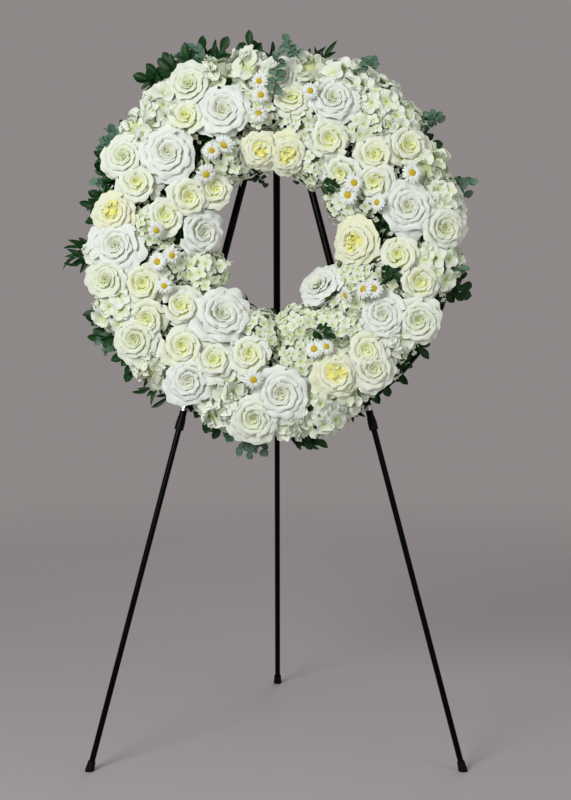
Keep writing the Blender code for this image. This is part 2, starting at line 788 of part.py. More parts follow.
def make_blooms():
    blooms = all_blooms()
    arms = []
    for side in FRONT_SIDES:
        matrix = WREATH_FRAME.inverted() @ holder_frame(side)
        foot, tip = arm_points(side)
        nose = tip + (tip - foot).normalized() * SLEEVE_NOSE
        arms.append((matrix @ foot, matrix @ nose))
    kept = {}
    for number, bloom in enumerate(blooms):
        first = bloom.piece not in kept
        name = bloom.piece if first else f"{bloom.piece}_head_{number}"
        mesh = bloom_mesh(name, bloom, limits(bloom, number, blooms, arms), spin=number * 1.3)
        finish = None
        if first:
            finish = {"large_rose": "white_petal", "peony": "cream_petal"}.get(bloom.kind, "ivory_bunch")
        head = add_object(name, mesh, WREATH_FRAME, finish)
        if first:
            kept[bloom.piece] = head
        else:
            combine(kept[bloom.piece], head, "UNION")


# Greenery


def vine(name, first, last):
    """The garland's stem: a wire along an arc behind the rim."""
    steps = max(3, round((last - first) / 5))
    curve = bpy.data.curves.new(name, "CURVE")
    curve.dimensions = "3D"
    curve.bevel_depth = VINE_RADIUS
    curve.bevel_resolution = 0
    curve.use_fill_caps = True
    line = curve.splines.new("POLY")
    line.points.add(steps)
    for step, point in enumerate(line.points):
        clock = first + (last - first) * step / steps
        point.co = (*ring_place(clock, VINE_RING, VINE_HEIGHT), 1)
    guide = add_object(f"{name}_line", curve, WREATH_FRAME)
    bpy.context.view_layer.update()
    graph = bpy.context.evaluated_depsgraph_get()
    mesh = bpy.data.meshes.new_from_object(guide.evaluated_get(graph))
    bpy.data.objects.remove(guide, do_unlink=True)
    bm = bmesh.new()
    bm.from_mesh(mesh)
    bmesh.ops.remove_doubles(bm, verts=bm.verts, dist=0.00001)
    bmesh.ops.recalc_face_normals(bm, faces=bm.faces)
    bpy.data.meshes.remove(mesh)
    return add_object(name, mesh_from(name, bm), WREATH_FRAME, "dark_leaf")


def leaf(name, clock, turn, length):
    """A flat pointed leaf: a flattened spindle from the vine outwards."""
    start = ring_place(clock, VINE_RING, VINE_HEIGHT)
    outward = ring_place(clock + turn, 1, 0)
    matrix = frame_matrix(start + outward * (length / 2 - VINE_RADIUS), Vector((0, 0, 1)), outward)
    bm = bmesh.new()
    bmesh.ops.create_uvsphere(bm, u_segments=4, v_segments=5, radius=0.5)
    size = Vector((length * LEAF_WIDTH, LEAF_THICKNESS, length))
    bmesh.ops.scale(bm, vec=size, verts=bm.verts)
    bmesh.ops.transform(bm, matrix=matrix, verts=bm.verts)
    bmesh.ops.triangulate(bm, faces=bm.faces)
    return add_object(name, mesh_from(name, bm), WREATH_FRAME)


def make_greenery():
    for name, ((first, last), leaves) in GARLANDS.items():
        stem = vine(name, first, last)
        for number, place in enumerate(leaves, 1):
            combine(stem, leaf(f"{name}_leaf_{number}", *place), "UNION")


clear_scene()
PARTS = collection("funeral_wreath")
HELPERS = collection("cutters_and_joined_shapes")
FINISHES = {name: make_material(name) for name in MATERIALS}
make_head()
for leg_side in SIDES:
    make_leg(leg_side)
for front_side in FRONT_SIDES:
    make_holder(front_side)
make_base()
make_blooms()
make_greenery()
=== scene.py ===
"""Dresses the funeral wreath and its easel: silk blooms, leaves, foam and the finishes of the stand.

Every shape is worked out in the wreath's own frame: x to the right, y up along the lean, z out to
the front, with the middle of the ring at the origin. Sizes are in metres.
"""

import math

import bpy
import numpy as np
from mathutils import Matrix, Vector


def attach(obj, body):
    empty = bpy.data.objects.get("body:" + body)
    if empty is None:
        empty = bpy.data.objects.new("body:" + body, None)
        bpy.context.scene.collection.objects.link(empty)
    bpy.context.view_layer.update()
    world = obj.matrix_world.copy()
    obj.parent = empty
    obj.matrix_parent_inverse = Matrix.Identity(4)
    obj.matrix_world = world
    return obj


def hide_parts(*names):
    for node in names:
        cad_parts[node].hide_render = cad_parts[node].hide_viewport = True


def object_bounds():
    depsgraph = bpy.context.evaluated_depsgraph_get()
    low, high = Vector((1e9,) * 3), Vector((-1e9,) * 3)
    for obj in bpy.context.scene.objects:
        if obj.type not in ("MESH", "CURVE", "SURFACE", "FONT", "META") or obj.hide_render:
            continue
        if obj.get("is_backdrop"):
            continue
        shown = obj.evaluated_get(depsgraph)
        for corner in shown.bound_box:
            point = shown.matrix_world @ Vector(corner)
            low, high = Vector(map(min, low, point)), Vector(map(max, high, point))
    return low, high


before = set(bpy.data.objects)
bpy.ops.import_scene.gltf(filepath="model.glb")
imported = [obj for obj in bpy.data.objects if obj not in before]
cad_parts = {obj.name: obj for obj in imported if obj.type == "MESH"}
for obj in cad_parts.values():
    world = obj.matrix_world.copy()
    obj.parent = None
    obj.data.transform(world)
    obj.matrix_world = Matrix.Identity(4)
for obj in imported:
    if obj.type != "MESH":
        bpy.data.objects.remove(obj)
CAD_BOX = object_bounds()

bl_info = {
    "name": "Funeral wreath dresser",
    "version": (1, 0, 0),
    "blender": (4, 5, 0),
    "location": "View3D > Sidebar > Wreath",
    "description": "Dresses a standing wreath with silk blooms, leaves and stand finishes",
    "category": "Add Mesh",
}

# Stance of the easel and the wreath's place on it, as in the part
FRONT_SOLES = -0.352
APEX_HEIGHT = 1.545
APEX_BACK = 0.25
WREATH_UP = 1.130
STANDOFF = 0.00885
LEAN = math.atan2(APEX_BACK, APEX_HEIGHT)
UP_PLANE = np.array((0, math.sin(LEAN), math.cos(LEAN)))
OUTWARDS = np.array((0, -math.cos(LEAN), math.sin(LEAN)))
WREATH_AXES = np.array(((1, 0, 0), UP_PLANE, OUTWARDS))
WREATH_CENTRE = np.array((0, FRONT_SOLES, 0)) + UP_PLANE * WREATH_UP + OUTWARDS * STANDOFF
BODY = "stand_and_wreath"

# The base as in the part, and the mound of blooms over it, which is shifted 7 mm less than there
RING_RADIUS = 0.291
FOAM_HALF_WIDTH = 0.086
FOAM_HEIGHT = 0.042
FOAM_FLOOR = 0.0035
MOUND_RADIUS = 0.2865
MOUND_SHIFT = 0.012
MOUND_OVAL = 0.02
MOUND_FOOT = 0.034
MOUND_RISE = 0.066
MOUND_HALF_WIDTH = 0.160

# The tray's rims with 6 mm to spare, the least height of leaves over it, and its ridges' pitch
TRAY_INNER = 0.190
TRAY_OUTER = 0.392
TRAY_FRONT = 0.004
RIDGE_PITCH = 0.014

GOLDEN_ANGLE = math.pi * (3 - math.sqrt(5))
# Range of a bloom's random spin, in radians
FULL_SPIN = 6.3
# Turn of roses and peonies towards the front
FORWARD = 0.4
# Front depth of the large heads in half widths; size, front and back depth of the dome inside
LARGE_ROSE_FRONT = 0.55
PEONY_FRONT = 0.72
INNER_CORE = (0.5, 0.3, 0.8)
WIRE_RADIUS = 0.0011
FLOOR_EDGE = 12.0
FLOOR_LEVEL = -0.0003
# First seed of the random draws of each kind of piece
SEEDS = {
    "large_rose": 7, "peony": 47, "bunch": 87, "daisy": 127, "garland": 207,
    "tucked": 307, "skirt": 337, "filler": 357, "front": 407,
}

# Clock angle in degrees from the top, distance from the middle, and diameter
LARGE_ROSES = [
    (338, 0.295, 0.137), (22, 0.320, 0.128), (76, 0.295, 0.137), (125, 0.280, 0.116), (134, 0.141, 0.110),
    (178, 0.320, 0.141), (212, 0.346, 0.119), (216, 0.202, 0.141), (268, 0.345, 0.137), (277, 0.170, 0.113),
    (309, 0.297, 0.141),
]
PEONIES = [
    (7, 0.190, 0.097), (90, 0.182, 0.118), (156, 0.308, 0.120), (280, 0.355, 0.105), (350, 0.200, 0.097),
]
# Small roses, ruffled heads and heads of florets, by the bunch they belong to
BUNCHES = {
    "bunch_top_left": [
        ("small_rose", 324, 0.326, 0.092), ("blossoms", 322, 0.373, 0.116),
        ("garden_rose", 331, 0.374, 0.112), ("ruffled", 340, 0.372, 0.112), ("ruffled", 351, 0.370, 0.116),
        ("ruffled", 310, 0.373, 0.116), ("garden_rose", 299, 0.371, 0.114),
        ("small_rose", 293, 0.326, 0.092),
    ],
    "bunch_top": [
        ("florets", 353, 0.290, 0.114), ("small_rose", 6, 0.302, 0.088), ("florets", 13, 0.254, 0.108),
        ("ruffled", 11, 0.361, 0.114), ("garden_rose", 1, 0.346, 0.104), ("small_rose", 27, 0.245, 0.092),
        ("small_rose", 44, 0.209, 0.092), ("florets", 60, 0.180, 0.114), ("florets", 27, 0.184, 0.102),
    ],
    "bunch_top_right": [
        ("blossoms", 24, 0.373, 0.116), ("blossoms", 36, 0.369, 0.116), ("blossoms", 45, 0.372, 0.110),
        ("florets", 39, 0.314, 0.110),
    ],
    "bunch_right_upper": [
        ("small_rose", 54, 0.345, 0.095), ("ruffled", 63, 0.368, 0.116), ("small_rose", 49, 0.281, 0.092),
        ("small_rose", 59, 0.250, 0.092),
    ],
    "bunch_right": [
        ("blossoms", 76, 0.370, 0.110), ("garden_rose", 86, 0.362, 0.116), ("blossoms", 98, 0.350, 0.114),
        ("small_rose", 106, 0.323, 0.095), ("small_rose", 97, 0.270, 0.095), ("florets", 108, 0.239, 0.108),
    ],
    "bunch_right_lower": [
        ("garden_rose", 119, 0.350, 0.116), ("ruffled", 130, 0.322, 0.116),
        ("small_rose", 141, 0.306, 0.097), ("garden_rose", 143, 0.338, 0.110),
    ],
    "bunch_inner_right": [
        ("florets", 115, 0.182, 0.100), ("florets", 128, 0.212, 0.104), ("florets", 141, 0.235, 0.106),
        ("florets", 152, 0.206, 0.108), ("florets", 164, 0.180, 0.108), ("florets", 169, 0.245, 0.108),
    ],
    "bunch_bottom": [
        ("ruffled", 155, 0.352, 0.104), ("blossoms", 165, 0.368, 0.110), ("ruffled", 175, 0.373, 0.106),
    ],
    "bunch_bottom_left": [
        ("garden_rose", 187, 0.371, 0.116), ("ruffled", 198, 0.335, 0.116), ("ruffled", 199, 0.370, 0.110),
        ("small_rose", 207, 0.285, 0.095), ("small_rose", 193, 0.250, 0.095),
        ("florets", 190, 0.188, 0.106), ("small_rose", 221, 0.300, 0.095),
    ],
    "bunch_left": [
        ("ruffled", 226, 0.369, 0.110), ("garden_rose", 235, 0.367, 0.110),
        ("small_rose", 239, 0.323, 0.092), ("small_rose", 235, 0.251, 0.092),
        ("blossoms", 247, 0.368, 0.112), ("garden_rose", 257, 0.372, 0.108), ("ruffled", 267, 0.375, 0.106),
        ("small_rose", 252, 0.303, 0.092), ("florets", 257, 0.236, 0.106), ("florets", 247, 0.166, 0.114),
    ],
    "bunch_inner_left": [
        ("small_rose", 282, 0.249, 0.092), ("florets", 274, 0.290, 0.102),
        ("small_rose", 297, 0.215, 0.092), ("small_rose", 310, 0.178, 0.088),
        ("florets", 328, 0.204, 0.110),
    ],
}
# Heads of the bunches: lift over the mound, front and back depth in half widths, widening, finish
# of the petals, finish and size of the core
HEADS = {
    "small_rose": (0.000, 0.62, 0.85, 1.12, 1, 1, 0.50),
    "garden_rose": (0.004, 0.60, 0.80, 1.0, 0, 0, 0.50),
    "ruffled": (-0.014, 0.72, 0.90, 1.0, 0, 0, 0.62),
    "blossoms": (-0.014, 0.72, 0.90, 1.0, 2, 3, 0.66),
    "florets": (-0.014, 0.72, 0.90, 1.0, 2, 3, 0.74),
}
# Clock angle and distance from the middle
DAISIES = [
    (354, 0.332), (354, 0.302), (352, 0.265), (13, 0.318), (331, 0.226), (324, 0.231), (313, 0.203),
    (274, 0.259), (261, 0.227), (259, 0.261), (247, 0.260), (189, 0.297), (161, 0.243), (155, 0.249),
    (64, 0.325), (54, 0.206), (58, 0.181), (70, 0.231), (129, 0.190), (120, 0.215), (117, 0.234),
]
DAISY_LIFT = 0.046

# Fans of sprigs behind the rim: kind, how many, clock angle of the middle one, half the fan's
# spread in degrees, and how far the tips reach from the middle of the ring
GARLANDS = {
    "greenery_top_left": [
        ("spoon", 10, 332, 12, 0.484), ("coin", 3, 336, 4, 0.494), ("blade", 3, 343, 4, 0.465),
        ("spoon", 3, 353, 5, 0.450), ("coin", 3, 2, 6, 0.444),
    ],
    "greenery_top_right": [
        ("blade", 4, 16, 5, 0.458), ("coin", 4, 27, 2, 0.462), ("spoon", 2, 31, 4, 0.425),
        ("coin", 3, 52, 2, 0.468), ("spoon", 2, 55, 3, 0.430),
    ],
    "greenery_right": [
        ("coin", 4, 73, 2, 0.462), ("spoon", 3, 82, 6, 0.408), ("coin", 2, 95, 3, 0.415),
        ("round", 3, 101, 3, 0.432), ("spoon", 3, 113, 5, 0.390),
    ],
    "greenery_bottom_right": [
        ("spoon", 8, 137, 14, 0.408), ("blade", 3, 156, 4, 0.418), ("spoon", 4, 170, 3, 0.442),
    ],
    "greenery_bottom_left": [
        ("coin", 4, 187, 3, 0.466), ("spoon", 5, 200, 6, 0.432), ("coin", 2, 195, 3, 0.440),
        ("spoon", 2, 210, 3, 0.415),
    ],
    "greenery_left": [
        ("blade", 4, 221, 3, 0.442), ("spoon", 4, 229, 4, 0.432), ("coin", 4, 240, 3, 0.450),
        ("spoon", 6, 246, 6, 0.442), ("blade", 5, 267, 5, 0.460), ("coin", 2, 262, 3, 0.445),
        ("spoon", 4, 281, 3, 0.424), ("coin", 3, 286, 3, 0.430), ("spoon", 5, 296, 4, 0.440),
        ("coin", 4, 302, 4, 0.455), ("spoon", 3, 309, 3, 0.436),
    ],
}
# Kind, clock angle and distance of the tip, turn away from straight out, size, lift
FRONT_SPRIGS = [
    ("coin", 1, 0.412, 3, 1.15, 0.084), ("coin", 25, 0.432, -8, 1.20, 0.056),
    ("coin", 49, 0.436, -12, 1.00, 0.034), ("coin", 72, 0.440, -25, 1.10, 0.030),
    ("coin", 98, 0.425, -8, 1.10, 0.034), ("spoon", 345, 0.125, 190, 0.8, -0.030),
    ("spoon", 352, 0.118, 150, 0.7, -0.030), ("spoon", 20, 0.122, 190, 0.7, -0.012),
    ("spoon", 28, 0.130, 150, 0.7, -0.012), ("spoon", 216, 0.112, 140, 0.8, -0.030),
    ("spoon", 203, 0.118, 200, 0.6, -0.030), ("spoon", 181, 0.118, 170, 0.8, -0.030),
    ("spoon", 168, 0.120, 200, 0.8, -0.030), ("spoon", 108, 0.285, 20, 0.9, 0.020),
    ("spoon", 103, 0.275, -30, 0.9, 0.016), ("spoon", 14, 0.345, 20, 0.8, 0.022),
    ("spoon", 318, 0.360, -30, 0.8, 0.010), ("spoon", 345, 0.350, 90, 0.8, 0.012),
    ("spoon", 149, 0.240, -40, 0.6, 0.036), ("spoon", 48, 0.190, 30, 0.6, 0.024),
    ("spoon", 101, 0.128, 170, 0.6, -0.012),
]
# Leaves of a sprig: how many, their length and half width, broadest place along them, droop of the
# tip, lowest leaf along the stem, how far they stand off the stem, length of the stem
LEAF_KINDS = {
    "spoon": (8, 0.042, 0.24, 0.64, 0.10, 0.30, 1.10, 0.060),
    "coin": (16, 0.021, 0.40, 0.55, 0.05, 0.10, 1.30, 0.085),
    "round": (4, 0.026, 0.44, 0.55, 0.05, 0.30, 0.90, 0.045),
    "blade": (4, 0.040, 0.13, 0.42, 0.12, 0.35, 0.60, 0.050),
}


# Sizes and colours that a user would change


def tint(name, description, *colour):
    return bpy.props.FloatVectorProperty(name=name, description=description, subtype="COLOR", default=colour)


def amount(name, description, default, low, high):
    return bpy.props.IntProperty(name=name, description=description, default=default, min=low, max=high)


def measure(name, description, default, **kind):
    return bpy.props.FloatProperty(name=name, description=description, default=default, **kind)


class BloomSettings(bpy.types.PropertyGroup):
    rose_petals: amount("Rose petals", "Petals of a large rose", 20, 12, 50)
    small_rose_petals: amount("Small rose petals", "Petals of a small rose", 13, 10, 40)
    peony_petals: amount("Peony petals", "Broad outer petals of a peony", 15, 10, 40)
    ruffled_petals: amount("Ruffled petals", "Petals of a ruffled head", 84, 20, 200)
    blossoms: amount("Blossoms", "Five-petalled blossoms on a head", 32, 10, 60)
    florets: amount("Florets", "Four-petalled florets on a head", 52, 15, 80)
    filler: amount("Filler", "Small clusters of florets in the gaps", 38, 0, 300)
    daisy_width: measure("Daisy width", "Across the petals", 0.045, unit="LENGTH")
    white: tint("White", "Large roses and daisies", 0.86, 0.93, 0.885)
    ivory: tint("Ivory", "Small roses and heads", 0.86, 0.925, 0.82)
    cream: tint("Cream", "Peonies", 0.87, 0.915, 0.71)
    lime: tint("Lime", "Hearts of small roses", 0.89, 0.94, 0.52)
    gold: tint("Gold", "Hearts of daisies", 0.64, 0.50, 0.02)


class LeafSettings(bpy.types.PropertyGroup):
    leaf: tint("Leaf", "Dark waxed leaves", 0.003, 0.036, 0.005)
    dusty: tint("Dusty", "Round blue-green leaves", 0.075, 0.17, 0.115)
    stem: tint("Stem", "Wrapped wire stems", 0.05, 0.07, 0.025)
    tucked: amount("Tucked leaves", "Leaves between the blooms", 240, 0, 600)
    skirt: amount("Skirt leaves", "Leaves round the side of the foam", 260, 0, 600)
    stem_radius: measure("Stem radius", "Of a sprig's wire", WIRE_RADIUS, unit="LENGTH")


class StandSettings(bpy.types.PropertyGroup):
    enamel: tint("Enamel", "Tubes and head", 0.0009, 0.0009, 0.0010)
    foam: tint("Foam", "Floral foam", 0.075, 0.20, 0.075)
    tray: tint("Tray", "Moulded tray", 0.022, 0.075, 0.030)


class StudioSettings(bpy.types.PropertyGroup):
    floor: tint("Floor", "Pale floor", 0.475, 0.455, 0.455)
    air: tint("Air", "Even light all round", 0.272, 0.249, 0.247)
    distance: measure("Camera distance", "In front of the front feet", 4.0, unit="LENGTH")
    height: measure("Camera height", "Over the floor", 1.301, unit="LENGTH")
    tilt: measure("Camera tilt", "Downwards", math.radians(6.97), subtype="ANGLE")
    lens: measure("Lens", "Focal length", 85.5, unit="CAMERA")
    key_power: measure("Key light", "Watts", 110.0, unit="POWER")
    fill_power: measure("Fill light", "Watts", 17.0, unit="POWER")


# Surfaces


def linked(name, data):
    """A new object of the scene that holds the data."""
    thing = bpy.data.objects.new(name, data)
    bpy.context.scene.collection.objects.link(thing)
    return thing


def fill(target, label, values, kind=np.float32):
    """Sets one property of all of Blender's items from an array."""
    target.foreach_set(label, values.ravel().astype(kind))


class Surface:
    """Grids of points gathered into one mesh, with a place on each grid and two shades a point.

    heart is 0 at a petal's rim and 1 deep in the bloom, and steers the heart tint and the painted shade in
    the folds; own differs from petal to petal.
    """

    def __init__(self):
        self.grids = []
        self.count = 0

    def add(self, grids, heart=0.0, own=0.0, finish=0, closed=""):
        """Joins grids of points (grid, row, column, xyz) by quads between neighbours.

        A "tube" also joins its last column to its first and caps both ends with strips of quads; a
        "ring" joins its last column and its last row to the first ones.
        """
        shape = grids.shape[:3]
        rows, cols = shape[1:]
        index = np.arange(math.prod(shape)).reshape(shape) + self.count
        right = np.roll(index, -1, axis=2)
        quads = np.stack((index, right, np.roll(right, -1, axis=1), np.roll(index, -1, axis=1)), axis=-1)
        quads = quads if closed == "ring" else quads[:, :-1]
        faces = (quads if closed else quads[:, :, :-1]).reshape(-1, 4)
        if closed == "tube":
            half = np.arange(cols // 2 - 1)
            strip = np.stack((half, half + 1, cols - 2 - half, cols - 1 - half), axis=-1)
            caps = (index[:, 0][:, strip[:, ::-1]], index[:, -1][:, strip])
            faces = np.concatenate([faces] + [cap.reshape(-1, 4) for cap in caps])
        across, along = np.meshgrid(np.linspace(0, 1, cols), np.linspace(0, 1, rows))
        place = np.broadcast_to(np.stack((across, along), axis=-1), (*shape, 2)).reshape(-1, 2)
        shades = [np.broadcast_to(shade, shape).ravel() for shade in (heart, own)]
        self.grids.append((grids.reshape(-1, 3), faces, place, *shades, np.full(len(faces), finish)))
        self.count += index.size

    def build(self, name, finishes, slot, replaces=()):
        """Makes the mesh in the part's frame and rides it on the wreath's body."""
        points, faces, place, heart, own, finish = map(np.concatenate, zip(*self.grids))
        mesh = bpy.data.meshes.new(name)
        mesh.vertices.add(len(points))
        mesh.loops.add(faces.size)
        mesh.polygons.add(len(faces))
        fill(mesh.vertices, "co", points @ WREATH_AXES + WREATH_CENTRE)
        fill(mesh.loops, "vertex_index", faces, np.int32)
        fill(mesh.polygons, "loop_start", np.arange(0, faces.size, 4), np.int32)
        fill(mesh.polygons, "material_index", finish, np.int32)
        mesh.update(calc_edges=True)
        fill(mesh.uv_layers.new(name="place").data, "uv", place[faces.ravel()])
        for label, values in (("heart", heart), ("own", own)):
            fill(mesh.attributes.new(label, "FLOAT", "POINT").data, "value", values)
        mesh.shade_smooth()
        mesh.validate()
        for material in finishes:
            mesh.materials.append(material)
        piece = linked(name, mesh)
        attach(piece, BODY)
        if replaces:
            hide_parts(*replaces)


def unit(vectors):
    """Vectors of length one: each over its own length."""
    return vectors / np.linalg.norm(vectors, axis=-1, keepdims=True)


def axes_from(normal, along):
    """Frames (n, 3, 3) whose rows are across, along and normal, from normals and rough alongs."""
    normal = unit(normal)
    along = unit(along - normal * np.sum(along * normal, axis=-1, keepdims=True))
    return np.stack((np.cross(along, normal), along, normal), axis=-2)


def placed(local, origins, axes):
    """Local grids carried into the given frames: origin + x across + y along + z normal."""
    return origins[:, None, None, :] + np.einsum("nrck,nkd->nrcd", local, axes)


def grid(rows, cols):
    """v runs 0 to 1 down the rows and u runs -1 to 1 along the columns, ready to broadcast."""
    return np.linspace(0, 1, rows)[None, :, None], np.linspace(-1, 1, cols)[None, None, :]


def stacked(*parts):
    """Points from arrays of their coordinates, broadcast together."""
    return np.stack(np.broadcast_arrays(*parts), axis=-1)


def turned(x, y, z, angle):
    """Points turned by an angle about z."""
    cosine, sine = np.cos(angle), np.sin(angle)
    return stacked(x * cosine - y * sine, x * sine + y * cosine, z)


# Where blooms stand


def draws(kind, number=0):
    """The random draws of one piece, the same in each run."""
    return np.random.default_rng(SEEDS[kind] + number)


def ring_place(clock, radius, height):
    """Points of the ring: radius times sine and cosine of the clock angle from the top, and height."""
    angle = np.radians(clock)
    return stacked(radius * np.sin(angle), radius * np.cos(angle), height)


def mound_place(clock, radius, lift):
    """A point over the mound and the way it faces, away from the nearest point of the foam.

    The mound's height over the ring is foot + rise * sqrt(1 - share^2), where share is how far the
    point lies from the mound's own radius; the mound is slightly oval and sits above the middle.
    """
    clock, radius, lift = np.broadcast_arrays(np.asarray(clock, float), radius, lift)
    share = np.clip((radius - MOUND_RADIUS) / MOUND_HALF_WIDTH, -0.98, 0.98)
    height = MOUND_FOOT + MOUND_RISE * np.sqrt(1 - share**2) + lift
    oval = 1 + MOUND_OVAL * np.cos(2 * np.radians(clock))
    centre = ring_place(clock, radius * oval, height) + np.array((0, MOUND_SHIFT, 0))
    reach = np.hypot(centre[..., 0], centre[..., 1])
    arc = np.radians(np.arange(-90, 91, 2.0))
    foam_radius = RING_RADIUS + FOAM_HALF_WIDTH * np.sin(arc)
    foam_height = FOAM_FLOOR + FOAM_HEIGHT * np.cos(arc)
    distance = np.hypot(reach[..., None] - foam_radius, height[..., None] - foam_height)
    nearest = distance.argmin(axis=-1)
    outward = stacked(centre[..., 0] / reach, centre[..., 1] / reach, 0.0)
    foot = outward * foam_radius[nearest][..., None]
    foot[..., 2] = foam_height[nearest]
    return centre, unit(centre - foot)


def seated(rng, place, half_width, sway=0.0, forward=0.0):
    """A bloom's seat: its centre, its axes as rows (two sideways, then the way it faces), half width.

    It is spun about its axis and swayed at random; forward turns it towards the wreath's front.
    """
    centre, facing = place
    if sway:
        facing = unit(facing + rng.normal(0, sway, 3))
    across, along, normal = axes_from(unit(facing + np.array((0, 0, forward))), np.array((0.3, 1, 0.1)))
    spin = rng.uniform(0, FULL_SPIN)
    cosine, sine = math.cos(spin), math.sin(spin)
    axes = np.array((across * cosine + along * sine, along * cosine - across * sine, normal))
    return centre, axes, half_width


# Petals, in half widths of their bloom, the bloom's face up


def rose_petals(rng, count, front, heart_share=0.0, spacing=1.0, rows=8, cols=17):
    """Petals wrapped about the axis, turned by the golden angle from heart to rim.

    Petal share s runs from heart to rim, and the tip radius grows with s^spacing, so a low spacing
    leaves few rings in the heart. Along v a petal leaves a foot ring, swings out as 1 - (1 - v)^k,
    k falling from 1.8 to 1, and rises as a quarter sine; past a line that is lower at its sides the
    edge falls away as a square. Across u it spans an angle that shrinks with s, its corners are
    rounded by |u|^2.2 and its tip is pointed by exp(-(3u)^2), its radius winds out with u and
    flattens by u^2, and its edge waves and frills as sines.
    """
    v, u = grid(rows, cols)
    s = np.linspace(heart_share, 1, count)[:, None, None]
    turn = (np.arange(count) * GOLDEN_ANGLE + rng.normal(0, 0.22, count))[:, None, None]
    jitter = rng.normal(0, 1, (5, count))[:, :, None, None]
    v = v * (1 - (0.18 + 0.10 * s) * np.abs(u) ** 2.2 + 0.07 * s * np.exp(-((3 * u) ** 2)))
    tip_radius = (0.07 + 0.91 * s**spacing) * (1 + 0.035 * jitter[0] * s)
    tip_height = front * (0.95 + 0.34 * s * (1 - s) - 0.66 * s**2.2) + 0.025 * jitter[1] * s
    foot_radius = 0.012 + 0.36 * s
    foot_height = tip_height - (0.12 + 0.34 * s)
    fall = np.clip((v + 0.30 * u**2 - 0.66) / 0.52, 0, None) ** 2
    wave = (0.004 + 0.036 * s) * v**3
    frill = 0.020 * s * v**5
    radius = foot_radius + (tip_radius - foot_radius) * (1 - (1 - np.minimum(v, 1)) ** (1.8 - 0.8 * s))
    radius = radius * (1 + 0.13 * u * (1 - 0.65 * s) + 0.06 * s * u**2) + 0.9 * np.maximum(v - 1, 0)
    radius = radius + 0.05 * s * fall + wave * np.cos(3.4 * math.pi * u + 2 * jitter[2])
    radius = radius + 0.8 * frill * np.cos(6.1 * math.pi * u + 4 * jitter[3])
    rise = np.sin(math.pi / 2 * np.minimum(1, v**0.9 * (1 + 0.45 * s)))
    height = foot_height + (tip_height - foot_height) * rise
    height = height - (0.005 + 0.17 * s**1.5) * fall + (0.11 * jitter[4] * u + 0.03 * jitter[0]) * s * v
    height = height + wave * np.sin(2.8 * math.pi * u + 3 * jitter[3])
    height = height + frill * np.sin(5.6 * math.pi * u + 4 * jitter[2])
    span = np.radians(100 - 50 * s**0.8) * (0.45 + 0.55 * np.sin(math.pi / 2 * np.minimum(1, 1.3 * v)))
    angle = turn - u * span
    petals = stacked(radius * np.cos(angle), radius * np.sin(angle), height)
    # heart is high at a petal's foot and in the inner petals; it steers the heart tint and the painted shade
    # in the folds.
    heart = np.clip((1 - v) * 0.85 + (1 - s) * 0.45 - 0.1, 0, 1) + 0 * u
    return petals, heart, np.clip(0.5 + 0.2 * jitter[0], 0, 1)


def dome_spots(rng, count, polar_end, scatter):
    """Directions over a dome, face to polar_end, spaced by the golden angle and then scattered."""
    share = (np.arange(count) + 0.5) / count
    cosine = 1 - share * (1 - math.cos(polar_end))
    sine = np.sqrt(1 - cosine**2)
    angle = np.arange(count) * GOLDEN_ANGLE
    spots = np.stack((sine * np.cos(angle), sine * np.sin(angle), cosine), axis=-1)
    return unit(spots + rng.normal(0, scatter, (count, 3)))


def dome_squash(spots, front, back):
    """The stretch of a dome at each spot: 1, 1, and front or back by its side."""
    return stacked(1.0, 1.0, np.where(spots[:, 2] > 0, front, back))


def ruffled_petals(rng, count, front=1.0, back=1.0, size=0.55, polar_end=1.45, rows=4, cols=6):
    """Round petals standing all over a dome like ruffles, looser away from its face.

    A petal is as wide as a sine of v, its tip is rounded by u^2, it is cupped by u^2 and its edge is
    frilled by a sine of u that grows with v^2.
    """
    spots = dome_spots(rng, count, polar_end, 0.08)
    v, u = grid(rows, cols)
    jitter = rng.normal(0, 1, (4, count))[:, :, None, None]
    length = size * (1 + 0.14 * jitter[0])
    width = size * (0.46 + 0.06 * jitter[1])
    frill = v**2 * (0.045 * np.sin(2.2 * math.pi * u + 2 * jitter[2]) + 0.05 * jitter[3] * u)
    local = stacked(
        u * width * np.sin(math.pi * (0.08 + 0.60 * v)),
        length * v * (1 - 0.24 * u**2),
        0.14 * u**2 * v + frill - 0.14 * np.clip(v - 0.5, 0, 1),
    )
    outer = np.clip(1.1 - spots[:, 2:], 0, 1)
    down = unit(spots * spots[:, 2:] - np.array((0, 0, 1.001)))
    anyhow = unit(np.cross(spots, rng.normal(0, 1, spots.shape)))
    lean = down * outer * 0.55 + anyhow * (0.75 - 0.35 * outer)
    normal = spots - lean * 0.7 + rng.normal(0, 0.2, spots.shape)
    origins = spots * (1.08 - 0.86 * size) * dome_squash(spots, front, back)
    petals = placed(local, origins, axes_from(normal, unit(spots * 0.8 + lean)))
    # heart is high at each petal's foot, where the cream tint is partly painted shade among the ruffles.
    return petals, np.clip(0.9 - v, 0, 1) + 0 * u, np.clip(0.5 + 0.25 * jitter[0], 0, 1)


